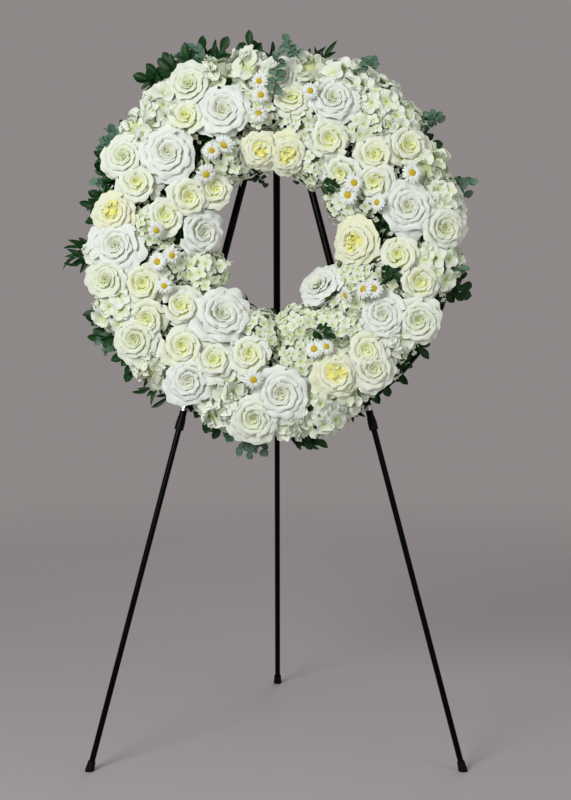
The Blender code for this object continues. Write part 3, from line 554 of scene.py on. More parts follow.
def floret_petals(rng, count, front, back, petals=4, size=0.215, cup=0.33, polar_end=2.0, rows=3, cols=4):
    """Florets over a dome, each of a few rounded petals turned evenly about its axis.

    A petal is as wide as a sine of v and its tip is rounded by u^2. It rises as cup v (1 - 0.7 v)
    from the heart of its floret, is cupped by u^2 v, and one side of it lifts a little at random.
    """
    spots = np.tile(dome_spots(rng, count, polar_end, 0.05), (petals, 1))
    v, u = grid(rows, cols)
    turn = np.repeat(np.arange(petals) * 2 * math.pi / petals, count)[:, None, None]
    spin = np.tile(rng.uniform(0, 2, count), petals)[:, None, None]
    length = np.tile(rng.normal(size, 0.10 * size, count), petals)[:, None, None]
    jitter = rng.normal(0, 1, (2, count * petals))[:, :, None, None]
    x = u * length * (0.08 + 0.54 * np.sin(math.pi * (0.04 + 0.70 * v)))
    y = length * (0.05 + (1.22 + 0.06 * jitter[0]) * v * (1 - 0.22 * u**2))
    lift = cup * v * (1 - 0.7 * v) + (0.08 + 0.16 * cup) * u**2 * v + 0.09 * jitter[1] * u * v**2
    local = turned(x, y, length * lift, spin + turn)
    squash = dome_squash(spots, front, back)
    tilt = np.tile(rng.normal(0, 0.34, (count, 3)), (petals, 1))
    reach = np.tile(rng.normal(0.97 - 0.42 * size, 0.05, (count, 1)), (petals, 1))
    axes = axes_from(spots / squash + tilt, np.cross(spots, np.array((0.2, 0.1, 1.0))))
    own = np.tile(rng.uniform(0, 1, count), petals)[:, None, None]
    return placed(local, spots * reach * squash, axes), np.clip(1 - 1.2 * v, 0, 1) + 0 * u, own


def core_dome(size, front, back, rows=8, cols=12):
    """The inside of a head: a dome of revolution from its face to its back, closed at both poles."""
    polar = np.linspace(0.16, math.pi - 0.16, rows)[None, :, None]
    around = np.arange(cols)[None, None, :] * 2 * math.pi / cols
    depth = np.where(np.cos(polar) > 0, front, back)
    sine = np.sin(polar)
    return stacked(sine * np.sin(around), sine * np.cos(around), np.cos(polar) * depth) * size


def put_petals(surface, parts, seat, finish=0, closed=""):
    """Petals, with their heart and own shades, on a bloom's seat: centre + half width * petal @ axes."""
    petals, heart, own = parts
    centre, axes, half_width = seat
    surface.add(centre + half_width * petals @ axes, heart, own, finish, closed)


def put_core(surface, dome, seat, heart=1.0, finish=0):
    """A closed dome on a bloom's seat, in one shade."""
    put_petals(surface, (dome, heart, 0.5), seat, finish, "tube")


def put_calyx(surface, seat, finish):
    """The green cup on the back of a rose or a peony, closed by a flat lid inside the petals."""
    put_core(surface, core_dome(size=0.56, front=0.05, back=0.82), seat, finish=finish)


def put_peony(surface, rng, count, seat):
    """Broad outer petals round a dome of ruffles, deepest in colour at its middle."""
    petals, heart, own = rose_petals(rng, count, PEONY_FRONT, heart_share=0.42)
    put_petals(surface, (petals, heart * 0.5, own), seat)
    inside = np.array((0.66, 0.66, 0.56))
    lifted = np.array((0, 0, PEONY_FRONT - 0.50))
    ruffles = 44
    petals, heart, own = ruffled_petals(rng, ruffles)
    heart = heart * 0.25 + np.linspace(1, 0, ruffles)[:, None, None] ** 1.5 * 0.75
    put_petals(surface, (petals * inside + lifted, heart, own), seat)
    put_core(surface, core_dome(0.70, 1.0, 1.0) * inside + lifted, seat, heart=0.9)
    put_core(surface, core_dome(*INNER_CORE), seat, heart=0.7)


def put_head(surface, rng, kind, clock, radius, width, blooms):
    """One head of a bunch in its place: a small rose, a ruffled head or a head of florets."""
    lift, front, back, widening, finish, inner_finish, core_size = HEADS[kind]
    rose = kind.endswith("rose")
    place = mound_place(clock, radius, lift)
    seat = seated(rng, place, width / 2 * widening, sway=0.10, forward=FORWARD if rose else 0.0)
    if kind == "small_rose":
        parts = rose_petals(rng, blooms.small_rose_petals, front, spacing=0.85)
    elif kind == "garden_rose":
        parts = rose_petals(rng, blooms.rose_petals, front)
    elif kind == "ruffled":
        parts = ruffled_petals(rng, blooms.ruffled_petals, front, back, size=0.54, polar_end=2.1)
    elif kind == "blossoms":
        broad = {"petals": 5, "size": 0.33, "cup": 0.85, "polar_end": 2.1, "rows": 5, "cols": 6}
        parts = floret_petals(rng, blooms.blossoms, front, back, **broad)
    else:
        parts = floret_petals(rng, blooms.florets, front, back)
    petals, heart, own = parts
    put_petals(surface, (petals, heart, own * 0.5 + rng.uniform(0, 0.5)), seat, finish)
    # The core dome fills the head's inside in its heart colour, which shows between the petals as painted
    # shade.
    put_core(surface, core_dome(core_size, front, back), seat, finish=inner_finish)
    if rose:
        put_calyx(surface, seat, finish=3)


# Leaves


def leaf_blades(rng, kind, count, rows=7, cols=5):
    """Leaves of unit length along y: width follows a sine of v, skewed to the kind's broadest place.

    The halves fold up along the midrib as |u|, and the tip droops as v^2.
    """
    v, u = grid(rows, cols)
    _, _, half, broadest, droop = LEAF_KINDS[kind][:5]
    jitter = rng.normal(0, 1, (3, count))[:, :, None, None]
    swell = np.sin(math.pi * np.clip(v, 0.015, 0.985) ** (math.log(0.5) / math.log(broadest)))
    width = half * (1 + 0.10 * jitter[0]) * swell**0.7
    height = 0.12 * np.abs(u) * width / half - (droop + 0.10 * jitter[1]) * v**2
    height = height + 0.03 * np.sin(6 * v + 2 * jitter[2]) * u
    return stacked(u * width, v + 0 * jitter[0], height)


def tube_along(path, radius, sides=6):
    """A round wire: rings across the path, in the frame of its tangent, thinner to its tip."""
    tangent = unit(np.gradient(path, axis=0))
    side = unit(np.cross(tangent, np.array((0.31, 0.17, 0.93))))
    other = np.cross(tangent, side)
    angle = (np.arange(sides) * 2 * math.pi / sides)[None, :, None]
    taper = np.linspace(1, 0.45, len(path))[:, None, None]
    ring = side[:, None] * np.cos(angle) + other[:, None] * np.sin(angle)
    return (path[:, None] + radius * taper * ring)[None]


def clear_of_tray(points):
    """Leaves moved forward, each as a whole, until no point of them lies behind the tray."""
    reach = np.hypot(points[..., 0], points[..., 1])
    over = (reach > TRAY_INNER) & (reach < TRAY_OUTER)
    behind = np.where(over, TRAY_FRONT - points[..., 2], 0.0).clip(0)
    points = points.copy()
    points[..., 2] += behind.max(axis=(1, 2), keepdims=True)
    return points


def put_leaves(surface, rng, blades, base, normal, along, finish=0):
    """Blades on their feet, clear of the tray, each in a shade of its own."""
    own = rng.uniform(0, 1, len(base))[:, None, None]
    surface.add(clear_of_tray(placed(blades, base, axes_from(normal, along))), own=own, finish=finish)


def put_sprig(surface, rng, kind, tip, heading, stem_radius, up=(0, 0, 1), size=1.0):
    """A stem that ends below the tip, with leaves along it: pairs on a coin sprig, else alternate."""
    count, leaf, _, _, _, lowest, spread, length = LEAF_KINDS[kind]
    leaf, length = leaf * size, length * size
    up = np.asarray(up, float)
    heading = unit(np.asarray(heading, float))
    side = unit(np.cross(heading, up))
    bend = rng.normal(0, 0.14)
    step = np.linspace(1, 0, 7)[:, None]
    end = tip - heading * leaf * 0.9
    path = end - length * (heading * step + side * bend * step**2 + up * 0.12 * step**2)
    path = clear_of_tray(path[:, None, None])[:, 0, 0]
    surface.add(tube_along(path, stem_radius), own=0.5, finish=2, closed="tube")
    share = np.linspace(lowest, 1.0, count)
    if kind == "coin":
        share = np.repeat(np.linspace(lowest, 1.0, count // 2), 2)
    base = np.stack([np.interp(share, 1 - step[:, 0], path[:, axis]) for axis in range(3)], axis=-1)
    sign = np.where(np.arange(count) % 2 == 0, 1.0, -1.0)[:, None]
    off = spread * (1 - 0.55 * share[:, None] ** 2) * rng.normal(1, 0.15, (count, 1))
    along = heading + side * sign * off + up * rng.normal(0.05, 0.25, (count, 1))
    along[-1] = heading + side * rng.normal(0, 0.1)
    normal = up + rng.normal(0, 0.35, (count, 3))
    sizes = leaf * (1 - 0.25 * share**2) * rng.normal(1, 0.10, count)
    sizes[-1] = leaf
    blades = leaf_blades(rng, kind, count) * sizes[:, None, None, None]
    put_leaves(surface, rng, blades, base, normal, along, 1 if kind == "coin" else 0)


def build_lone_leaves(name, leaves, rng, base, normal, along, longest):
    """Spoon leaves, each on a foot of its own, as one piece."""
    count = len(base)
    blades = leaf_blades(rng, "spoon", count) * rng.uniform(0.026, longest, count)[:, None, None, None]
    surface = Surface()
    put_leaves(surface, rng, blades, base, normal, along)
    surface.build(name, greenery_finishes(leaves), "dark_leaf")


# Finishes


class Number:
    """A number or vector socket; arithmetic on it adds Math nodes."""

    def __init__(self, finish, socket):
        self.finish = finish
        self.socket = socket

    def math(self, operation, *values):
        return self.finish.node("ShaderNodeMath", {"operation": operation}, dict(enumerate(values)))

    def __add__(self, other):
        return self.math("ADD", self, other)

    def __sub__(self, other):
        return self.math("SUBTRACT", self, other)

    def __rsub__(self, other):
        return self.math("SUBTRACT", other, self)

    def __mul__(self, other):
        return self.math("MULTIPLY", self, other)

    def __pow__(self, other):
        return self.math("POWER", self, other)

    def __rpow__(self, other):
        return self.math("POWER", other, self)

    __radd__ = __add__
    __rmul__ = __mul__

    def absolute(self):
        return self.math("ABSOLUTE", self)

    def sine(self):
        return self.math("SINE", self)

    def clamped(self):
        return self.math("MINIMUM", self.math("MAXIMUM", self, 0.0), 1.0)


class Finish:
    """A material on one Principled shader, with its nodes made by one method."""

    def __init__(self, name, **constants):
        self.material = bpy.data.materials.new(name)
        self.material.use_nodes = True
        self.tree = self.material.node_tree
        self.shader = self.tree.nodes["Principled BSDF"]
        self.place = self.node("ShaderNodeTexCoord", output="Object")
        for label, value in constants.items():
            self.shader.inputs[label.replace("_", " ")].default_value = value

    def node(self, kind, settings=None, inputs=None, output=0):
        """Adds a node: settings first, then values or links of its sockets; gives one output."""
        node = self.tree.nodes.new(kind)
        for label, value in (settings or {}).items():
            setattr(node, label, value)
        for label, value in (inputs or {}).items():
            self.feed(node.inputs[label], value)
        return Number(self, node.outputs[output])

    def feed(self, socket, value):
        if isinstance(value, Number):
            self.tree.links.new(value.socket, socket)
        elif socket.type == "RGBA" and len(value) == 3:
            socket.default_value = (*value, 1.0)
        else:
            socket.default_value = value

    def attribute(self, name):
        return self.node("ShaderNodeAttribute", {"attribute_name": name}, output="Fac")

    def place_on_grid(self):
        return self.node("ShaderNodeUVMap", {"uv_map": "place"})

    def vector(self, operation, place, other=None, output=0):
        inputs = {0: place} if other is None else {0: place, 1: other}
        return self.node("ShaderNodeVectorMath", {"operation": operation}, inputs, output)

    def noise(self, scale, detail=3.0, roughness=0.55, place=None):
        values = {"Vector": place or self.place, "Scale": scale, "Detail": detail, "Roughness": roughness}
        return self.node("ShaderNodeTexNoise", None, values, "Fac")

    def blend(self, share, first, second):
        """Mixes two colours by a share."""
        return self.node("ShaderNodeMix", {"data_type": "RGBA"}, {0: share, 6: first, 7: second}, 2)

    def bump(self, height, strength, distance):
        values = {"Height": height, "Strength": strength, "Distance": distance}
        return self.node("ShaderNodeBump", None, values, "Normal")

    def done(self, **links):
        """Feeds what changes over the surface to the shader's sockets; gives the material."""
        for label, value in links.items():
            self.feed(self.shader.inputs[label.replace("_", " ")], value)
        return self.material


def toned(colour, factor, lift=0.0):
    """A lighter or darker colour: each channel times the factor, plus the lift, at most 1."""
    return tuple(min(1.0, channel * factor + lift) for channel in colour)


def petal_finish(name, rim, heart, deep_tint_and_fold_shade, spread=1.0):
    """Silk petal: fine ribs along it, rim colour to heart colour (partly the bloom's own tint, partly
    painted warm shade), and a darker colour deep in the bloom that is painted shade in the folds.
    """
    finish = Finish(name, Sheen_Weight=0.25, Sheen_Roughness=0.4, Specular_IOR_Level=0.3)
    inward = finish.attribute("heart")
    own = finish.attribute("own")
    along = finish.vector("MULTIPLY", finish.place_on_grid(), (34.0, 3.0, 1.0))
    ribs = finish.noise(1.0, detail=2.0, place=along)
    weave = finish.noise(1400.0, detail=1.0)
    cloud = finish.noise(38.0, detail=2.0)
    # Heart tint towards the petal's foot and the bloom's middle: partly the bloom's own colour, partly
    # painted warm shade.
    heart_tint_and_warm_shade = (inward**1.4 * spread + (cloud - 0.5) * 0.5 + (own - 0.5) * 0.45).clamped()
    # Painted shade: the colour darkens deep in the bloom, where the folds lie in shade.
    painted_fold_shade = (inward**4 * 0.8 + (ribs - 0.5) * 0.15).clamped()
    colour = finish.blend(painted_fold_shade, finish.blend(heart_tint_and_warm_shade, rim, heart), deep_tint_and_fold_shade)
    normal = finish.bump(ribs + weave * 0.3, 0.35, 0.0006)
    return finish.done(Base_Color=colour, Roughness=0.58 + ribs * 0.16, Normal=normal)


def leaf_finish(name, colour, vein, gloss):
    """Waxed leaf: midrib and side veins from the leaf's own place, mottled a little."""
    finish = Finish(name, Specular_IOR_Level=0.3)
    own = finish.attribute("own")
    place = {0: finish.place_on_grid()}
    across, along = (finish.node("ShaderNodeSeparateXYZ", None, place, axis) for axis in "XY")
    aside = (across - 0.5).absolute()
    side_veins = (along * 44.0 - aside * 46.0).sine()
    rib = (1 - aside * 22.0).clamped()
    cloud = finish.noise(60.0)
    pale = (rib * 0.55 + (side_veins * 0.5 + 0.5) ** 6 * 0.22 + (cloud - 0.5) * 0.5 + own * 0.45).clamped()
    normal = finish.bump(side_veins * 0.4 - rib, 0.5, 0.0005)
    shade = finish.blend(pale, colour, vein)
    return finish.done(Base_Color=shade, Roughness=gloss + cloud * 0.18, Normal=normal)


def stem_finish(name, colour):
    """Wrapped wire: green and brown in a fine cloud."""
    finish = Finish(name, Specular_IOR_Level=0.3)
    cloud = finish.noise(220.0)
    shade = finish.blend(cloud, colour, (0.10, 0.075, 0.04))
    return finish.done(Base_Color=shade, Roughness=0.6 + cloud * 0.2, Normal=finish.bump(cloud, 0.4, 0.0004))


def speckled_finish(name, colour, rough, scale, depth, shine, metallic=0.0):
    """Moulded or coated surface: fine orange peel, a little wear in the gloss and in the colour."""
    finish = Finish(name, Metallic=metallic, Specular_IOR_Level=shine)
    fine = finish.noise(scale)
    broad = finish.noise(scale * 0.05)
    worn = ((broad - 0.42) * 1.6).clamped() * 0.6
    shade = finish.blend(worn, colour, toned(colour, 1.8, 0.001))
    gloss = rough + (broad - 0.5) * 0.22 + (fine - 0.5) * 0.10
    return finish.done(Base_Color=shade, Roughness=gloss, Normal=finish.bump(fine, 0.3, depth))


def tray_finish(colour):
    """Moulded tray: ridges round the ring, with a fine grain between them."""
    finish = Finish("moulded green tray", Specular_IOR_Level=0.4)
    reach = finish.vector("DISTANCE", finish.place, tuple(WREATH_CENTRE), "Value")
    ridges = ((reach * (2 * math.pi / RIDGE_PITCH)).sine() * 0.5 + 0.5) ** 5
    grain = finish.noise(700.0)
    cloud = finish.noise(30.0)
    worn = (ridges * 0.3 + (cloud - 0.4) * 0.9).clamped()
    shade = finish.blend(worn, colour, toned(colour, 1.7, 0.01))
    normal = finish.bump(ridges + grain * 0.06, 0.9, 0.0012)
    return finish.done(Base_Color=shade, Roughness=0.42 + cloud * 0.2, Normal=normal)


def plated_finish():
    """Chrome plate: faint lengthwise polish and dull spots."""
    finish = Finish("bright plated steel", Metallic=1.0)
    along = finish.vector("MULTIPLY", finish.place, (900.0, 900.0, 90.0))
    polish = finish.noise(1.0, detail=2.0, place=along)
    spots = finish.noise(260.0, detail=4.0, roughness=0.7)
    shade = finish.blend(((spots - 0.55) * 4.0).clamped(), (0.80, 0.81, 0.82), (0.45, 0.44, 0.42))
    normal = finish.bump(polish, 0.12, 0.0002)
    return finish.done(Base_Color=shade, Roughness=0.10 + spots * 0.16, Normal=normal)


def foam_finish(colour):
    """Floral foam: open pores, crumbled lighter and darker."""
    finish = Finish("floral foam", Specular_IOR_Level=0.15)
    values = {"Vector": finish.place, "Scale": 620.0}
    pores = finish.node("ShaderNodeTexVoronoi", None, values, "Distance")
    crumbs = finish.noise(90.0, detail=5.0, roughness=0.7)
    shade = finish.blend((crumbs * 1.2 - pores * 0.4).clamped(), toned(colour, 0.35), colour)
    normal = finish.bump(pores + crumbs, 0.8, 0.0012)
    return finish.done(Base_Color=shade, Roughness=0.9 + crumbs * 0.1, Normal=normal)


def shared(maker, name, *values):
    """The finish of the given name, made by its maker if it isn't there yet."""
    return bpy.data.materials.get(name) or maker(name, *values)


def core_and_gap_shade_finish():
    """Dull green calyx and inside of a bloom; where it shows between the petals its darkness is painted
    shade in the gaps.
    """
    return shared(petal_finish, "bloom core and gap shade", (0.36, 0.42, 0.18), (0.30, 0.36, 0.14), (0.16, 0.22, 0.07))


def heads_finishes(blooms):
    """Petals of ruffled heads, small roses and florets, and their core, numbered as in HEADS."""
    ivory = blooms.ivory
    # Heart colours: partly the blooms' own tint, partly painted warm shade; the deeper colours are painted
    # shade in the folds, partly a deeper tint of the heart.
    return [
        shared(petal_finish, "ruffled ivory petal", ivory, (0.80, 0.88, 0.54), (0.68, 0.75, 0.33), 0.9),
        shared(petal_finish, "small rose petal", ivory, blooms.lime, (0.84, 0.89, 0.28), 0.85),
        shared(petal_finish, "floret petal", ivory, (0.76, 0.87, 0.46), (0.46, 0.60, 0.13), 0.8),
        core_and_gap_shade_finish(),
    ]


def greenery_finishes(leaves):
    """Dark leaves, round leaves and stems, in that order."""
    return [
        shared(leaf_finish, "waxed dark leaf", leaves.leaf, (0.016, 0.090, 0.014), 0.30),
        shared(leaf_finish, "dusty round leaf", leaves.dusty, (0.21, 0.36, 0.24), 0.50),
        shared(stem_finish, "wrapped wire stem", leaves.stem),
    ]


# Operators


def large_heads(kind, heads):
    """Each large head of a kind in turn: its number, random draws, a new surface and its seat."""
    for number, (clock, radius, width) in enumerate(heads, 1):
        rng = draws(kind, number)
        seat = seated(rng, mound_place(clock, radius, 0.0), width / 2, forward=FORWARD)
        yield f"{number:02d}", rng, Surface(), seat


class WREATH_OT_large_roses(bpy.types.Operator):
    """Large white roses, one for each large head of the part"""

    bl_idname = "wreath.large_roses"
    bl_label = "Large roses"

    def execute(self, context):
        blooms = context.scene.wreath_blooms
        # White, a warm heart colour that is partly painted shade, and a darker colour painted as shade in
        # the folds.
        colours = blooms.white, (0.88, 0.925, 0.79), (0.76, 0.80, 0.50)
        finishes = [shared(petal_finish, "white rose petal", *colours), core_and_gap_shade_finish()]
        for number, rng, surface, seat in large_heads("large_rose", LARGE_ROSES):
            petals = rose_petals(rng, blooms.rose_petals, LARGE_ROSE_FRONT, rows=10, cols=21)
            put_petals(surface, petals, seat)
            # The inner dome takes the deep colour, painted shade seen between the petals.
            put_core(surface, core_dome(*INNER_CORE), seat)
            put_calyx(surface, seat, finish=1)
            surface.build(f"rose_head_{number}", finishes, "white_petal", (f"large_rose_{number}",))
        return {"FINISHED"}


class WREATH_OT_peonies(bpy.types.Operator):
    """Cream peonies with a yellow heart of frilled petals"""

    bl_idname = "wreath.peonies"
    bl_label = "Peonies"

    def execute(self, context):
        blooms = context.scene.wreath_blooms
        colours = blooms.cream, (0.92, 0.93, 0.36), (0.94, 0.86, 0.06), 0.9
        finishes = [shared(petal_finish, "cream peony petal", *colours), core_and_gap_shade_finish()]
        for number, rng, surface, seat in large_heads("peony", PEONIES):
            put_peony(surface, rng, blooms.peony_petals, seat)
            put_calyx(surface, seat, finish=1)
            surface.build(f"peony_head_{number}", finishes, "cream_petal", (f"peony_{number}",))
        return {"FINISHED"}


class WREATH_OT_bunches(bpy.types.Operator):
    """Bunches of small roses, ruffled heads and florets"""

    bl_idname = "wreath.bunches"
    bl_label = "Bunches"

    def execute(self, context):
        blooms = context.scene.wreath_blooms
        for number, (node, heads) in enumerate(BUNCHES.items()):
            rng = draws("bunch", number)
            surface = Surface()
            for kind, clock, radius, width in heads:
                put_head(surface, rng, kind, clock, radius, width, blooms)
            surface.build(f"{node}_heads", heads_finishes(blooms), "ivory_bunch", (node,))
        return {"FINISHED"}


def put_daisy(surface, rng, seat):
    """Petals in two whorls, a crowned heart with a grain of small bumps, and a short stem.

    A petal is as wide as a sine of v, its tip is rounded by u^2, and it arches as a sine of v. The
    heart is a dome swelled by the product of two sines.
    """
    count = 15
    v, u = grid(6, 4)
    jitter = rng.normal(0, 1, (3, count))[:, :, None, None]
    angle = (np.arange(count) / count * 2 * math.pi)[:, None, None] + 0.05 * jitter[0]
    lower = (np.arange(count) % 2)[:, None, None] * 0.04
    y = 0.22 + (0.74 + 0.04 * jitter[1]) * v * (1 - 0.08 * u**2)
    x = u * (0.060 + 0.105 * np.sin(math.pi * np.minimum(1, 0.12 + 0.74 * v)))
    z = 0.14 * np.sin(math.pi * v) * (1 + 0.4 * jitter[2]) - 0.12 * v - lower - 0.04 * u**2
    heart = np.clip(0.7 - 1.6 * v, 0, 1) + 0 * u
    put_petals(surface, (turned(x, y, z, angle), heart, np.clip(0.5 + 0.2 * jitter[0], 0, 1)), seat)
    dome = core_dome(0.35, 0.55, 0.5, rows=9, cols=16)
    grain = 1 + 0.06 * np.sin(38 * dome[..., :1]) * np.sin(38 * dome[..., 1:2])
    put_core(surface, dome * grain, seat, heart=0.25, finish=1)
    stem = seat[0] - seat[1][2] * np.linspace(0.001, 0.040, 4)[:, None]
    surface.add(tube_along(stem, WIRE_RADIUS), own=0.5, finish=2, closed="tube")


class WREATH_OT_daisies(bpy.types.Operator):
    """Daisies scattered between the larger blooms"""

    bl_idname = "wreath.daisies"
    bl_label = "Daisies"

    def execute(self, context):
        blooms = context.scene.wreath_blooms
        rng = draws("daisy")
        surface = Surface()
        for clock, radius in DAISIES:
            place = mound_place(clock, radius, DAISY_LIFT)
            centre, axes, half = seated(rng, place, blooms.daisy_width / 2, sway=0.26)
            put_daisy(surface, rng, (centre, axes, half * rng.uniform(0.84, 1.04)))
        heart = petal_finish("daisy heart", blooms.gold, (0.52, 0.35, 0.02), (0.30, 0.24, 0.02))
        # At the petal's foot the heart colour is partly its own tint, partly painted shade, and the deep
        # colour is painted shade.
        petal = petal_finish("daisy petal", blooms.white, (0.90, 0.90, 0.80), (0.70, 0.72, 0.45))
        stem = greenery_finishes(context.scene.wreath_leaves)[2]
        surface.build("daisies", [petal, heart, stem], "white_petal")
        return {"FINISHED"}


class WREATH_OT_garlands(bpy.types.Operator):
    """Sprigs of leaves behind the rim of blooms"""

    bl_idname = "wreath.garlands"
    bl_label = "Garlands"

    def execute(self, context):
        leaves = context.scene.wreath_leaves
        for number, (node, fans) in enumerate(GARLANDS.items()):
            rng = draws("garland", number)
            surface = Surface()
            for kind, count, middle, spread, reach in fans:
                share = np.linspace(-1, 1, count)
                clocks = middle + spread * share + rng.normal(0, 1, count)
                reaches = reach - 0.010 * share**2 + rng.normal(0, 0.008, count)
                tips = ring_place(clocks, reaches, rng.uniform(0.014, 0.036, count))
                tips = tips + np.array((0, MOUND_SHIFT, 0))
                aside = clocks + 20 * share + rng.normal(0, 14, count)
                headings = ring_place(aside, 1.0, rng.uniform(-0.05, 0.15, count))
                for tip, heading in zip(tips, headings):
                    put_sprig(surface, rng, kind, tip, heading, leaves.stem_radius)
            surface.build(f"{node}_sprigs", greenery_finishes(leaves), "dark_leaf", (node,))
        return {"FINISHED"}


def gap_spots(rng, count, inner, outer, apart):
    """The places over the mound that lie farthest from every bloom, most open first.

    They are picked from many random trials by their distance to the nearest bloom over its half
    width, and no two are closer than a given distance.
    """
    trials = 6000
    heads = LARGE_ROSES + PEONIES + [head[1:] for bunch in BUNCHES.values() for head in bunch]
    clock, radius, width = np.array(heads).T
    centres, _ = mound_place(clock, radius, 0.0)
    spots, facing = mound_place(rng.uniform(0, 360, trials), rng.uniform(inner, outer, trials), 0.0)
    near = np.linalg.norm(spots[:, None, :2] - centres[None, :, :2], axis=-1) / (width / 2)
    free = near.min(axis=1)
    chosen = []
    while len(chosen) < count and free.max() > 0:
        best = int(free.argmax())
        chosen.append(best)
        free[np.linalg.norm(spots - spots[best], axis=-1) < apart] = 0
    return spots[chosen], facing[chosen]


class WREATH_OT_tucked_leaves(bpy.types.Operator):
    """Dark leaves tucked in between the blooms"""

    bl_idname = "wreath.tucked_leaves"
    bl_label = "Tucked leaves"

    def execute(self, context):
        leaves = context.scene.wreath_leaves
        rng = draws("tucked")
        spots, facing = gap_spots(rng, leaves.tucked, inner=0.150, outer=0.390, apart=0.010)
        tilt = rng.normal(0, 1.0, spots.shape)
        along = unit(np.cross(facing, tilt) + facing * 0.55)
        base = spots - facing * 0.020 - along * 0.012
        normal = facing + 0.4 * unit(tilt)
        build_lone_leaves("tucked_leaves", leaves, rng, base, normal, along, longest=0.038)
        return {"FINISHED"}


class WREATH_OT_skirt_leaves(bpy.types.Operator):
    """Leaves that skirt the outer side of the foam, under the blooms"""

    bl_idname = "wreath.skirt_leaves"
    bl_label = "Skirt leaves"

    def execute(self, context):
        leaves = context.scene.wreath_leaves
        rng = draws("skirt")
        count, rounds = leaves.skirt, 3
        clock = np.arange(count) / count * 360 * rounds + rng.normal(0, 2, count)
        base = ring_place(clock, radius=0.352, height=rng.uniform(0.012, 0.050, count))
        outward = ring_place(clock, 1.0, 0.0)
        forward = np.array((0, 0, 1.0))
        aside, ahead = rng.normal(0, 0.55, (count, 1)), rng.normal(0.3, 0.35, (count, 1))
        along = outward + np.cross(outward, forward) * aside + forward * ahead
        normal = outward * 0.7 + forward * 0.8 + rng.normal(0, 0.3, (count, 3))
        build_lone_leaves("skirt_leaves", leaves, rng, base, normal, unit(along), longest=0.036)
        return {"FINISHED"}


class WREATH_OT_filler_florets(bpy.types.Operator):
    """Loose four-petalled florets that fill the gaps between the blooms"""

    bl_idname = "wreath.filler_florets"
    bl_label = "Filler florets"

    def execute(self, context):
        blooms = context.scene.wreath_blooms
        rng = draws("filler")
        surface = Surface()
        gaps = gap_spots(rng, blooms.filler, inner=0.155, outer=0.380, apart=0.030)
        for spot, facing in zip(*gaps):
            _, axes, half = seated(rng, (spot, facing), half_width=0.026, sway=0.25)
            seat = spot - facing * rng.uniform(0.024, 0.036), axes, half
            put_petals(surface, floret_petals(rng, 6, 1.0, 1.0, polar_end=0.9), seat, finish=2)
        surface.build("filler_florets", heads_finishes(blooms), "ivory_bunch")
        return {"FINISHED"}


class WREATH_OT_front_sprigs(bpy.types.Operator):
    """Sprigs in front of the blooms and at the rim of the hole"""

    bl_idname = "wreath.front_sprigs"
    bl_label = "Front sprigs"

    def execute(self, context):
        leaves = context.scene.wreath_leaves
        rng = draws("front")
        surface = Surface()
        for kind, clock, reach, turn, size, lift in FRONT_SPRIGS:
            tip, facing = mound_place(clock, reach, lift)
            heading = ring_place(clock + turn, 1.0, 0.05)
            put_sprig(surface, rng, kind, tip, heading, leaves.stem_radius, facing, size)
        surface.build("front_sprigs", greenery_finishes(leaves), "dark_leaf")
        return {"FINISHED"}


def dress(finish, *endings):
    """Gives the finish to each node of the part whose name ends so."""
    for ending in endings:
        found = [node for name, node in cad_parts.items() if name.endswith(ending)]
        if not found:
            raise RuntimeError(f"no node ends in {ending}")
        for node in found:
            for slot in node.material_slots:
                slot.material = finish


class WREATH_OT_base(bpy.types.Operator):
    """Foam ring, domed over a flat underside and faintly crumbled by sines, and the moulded tray"""

    bl_idname = "wreath.base"
    bl_label = "Base"

    def execute(self, context):
        stand = context.scene.wreath_stand
        sectors, sides = 180, 28
        around = (np.arange(sectors) * 2 * math.pi / sectors)[None, None, :]
        arc = (np.arange(sides) * 2 * math.pi / sides)[None, :, None]
        top = np.maximum(np.cos(arc), 0)
        rough = 0.0012 * np.sin(23 * around) * np.sin(9 * arc) + 0.0008 * np.sin(61 * around + 5 * arc)
        radius = RING_RADIUS + (FOAM_HALF_WIDTH + rough * top) * np.sin(arc)
        height = FOAM_FLOOR + (FOAM_HEIGHT + rough) * top
        surface = Surface()
        surface.add(stacked(radius * np.sin(around), radius * np.cos(around), height), closed="ring")
        surface.build("foam_body", [foam_finish(stand.foam)], "green_foam", ("foam_ring",))
        dress(tray_finish(stand.tray), "ring_tray")
        return {"FINISHED"}


class WREATH_OT_stand(bpy.types.Operator):
    """Enamel, plastic, rubber and plated finishes of the easel"""

    bl_idname = "wreath.stand"
    bl_label = "Stand"

    def execute(self, context):
        colour = context.scene.wreath_stand.enamel
        # Name, colour, roughness, scale of the peel, its depth, shine, metal
        enamel = speckled_finish("black enamel", colour, 0.27, 420.0, 0.0003, 0.07)
        black = (0.0015, 0.0015, 0.0018)
        plastic = speckled_finish("black moulded plastic", black, 0.45, 900.0, 0.0004, 0.12)
        rubber = speckled_finish("black rubber", (0.003, 0.003, 0.003), 0.72, 500.0, 0.0005, 0.12)
        zinc = speckled_finish("zinc plated steel", (0.55, 0.56, 0.57), 0.36, 800.0, 0.0002, 0.5, 1.0)
        dress(enamel, "head_bracket", "_upper_tube", "_lower_tube")
        dress(plastic, "_knuckle", "_collar")
        dress(rubber, "_foot", "_arm_sleeve")
        dress(zinc, "_pivot_pin", "_clip_screw")
        dress(plated_finish(), "_clip")
        return {"FINISHED"}


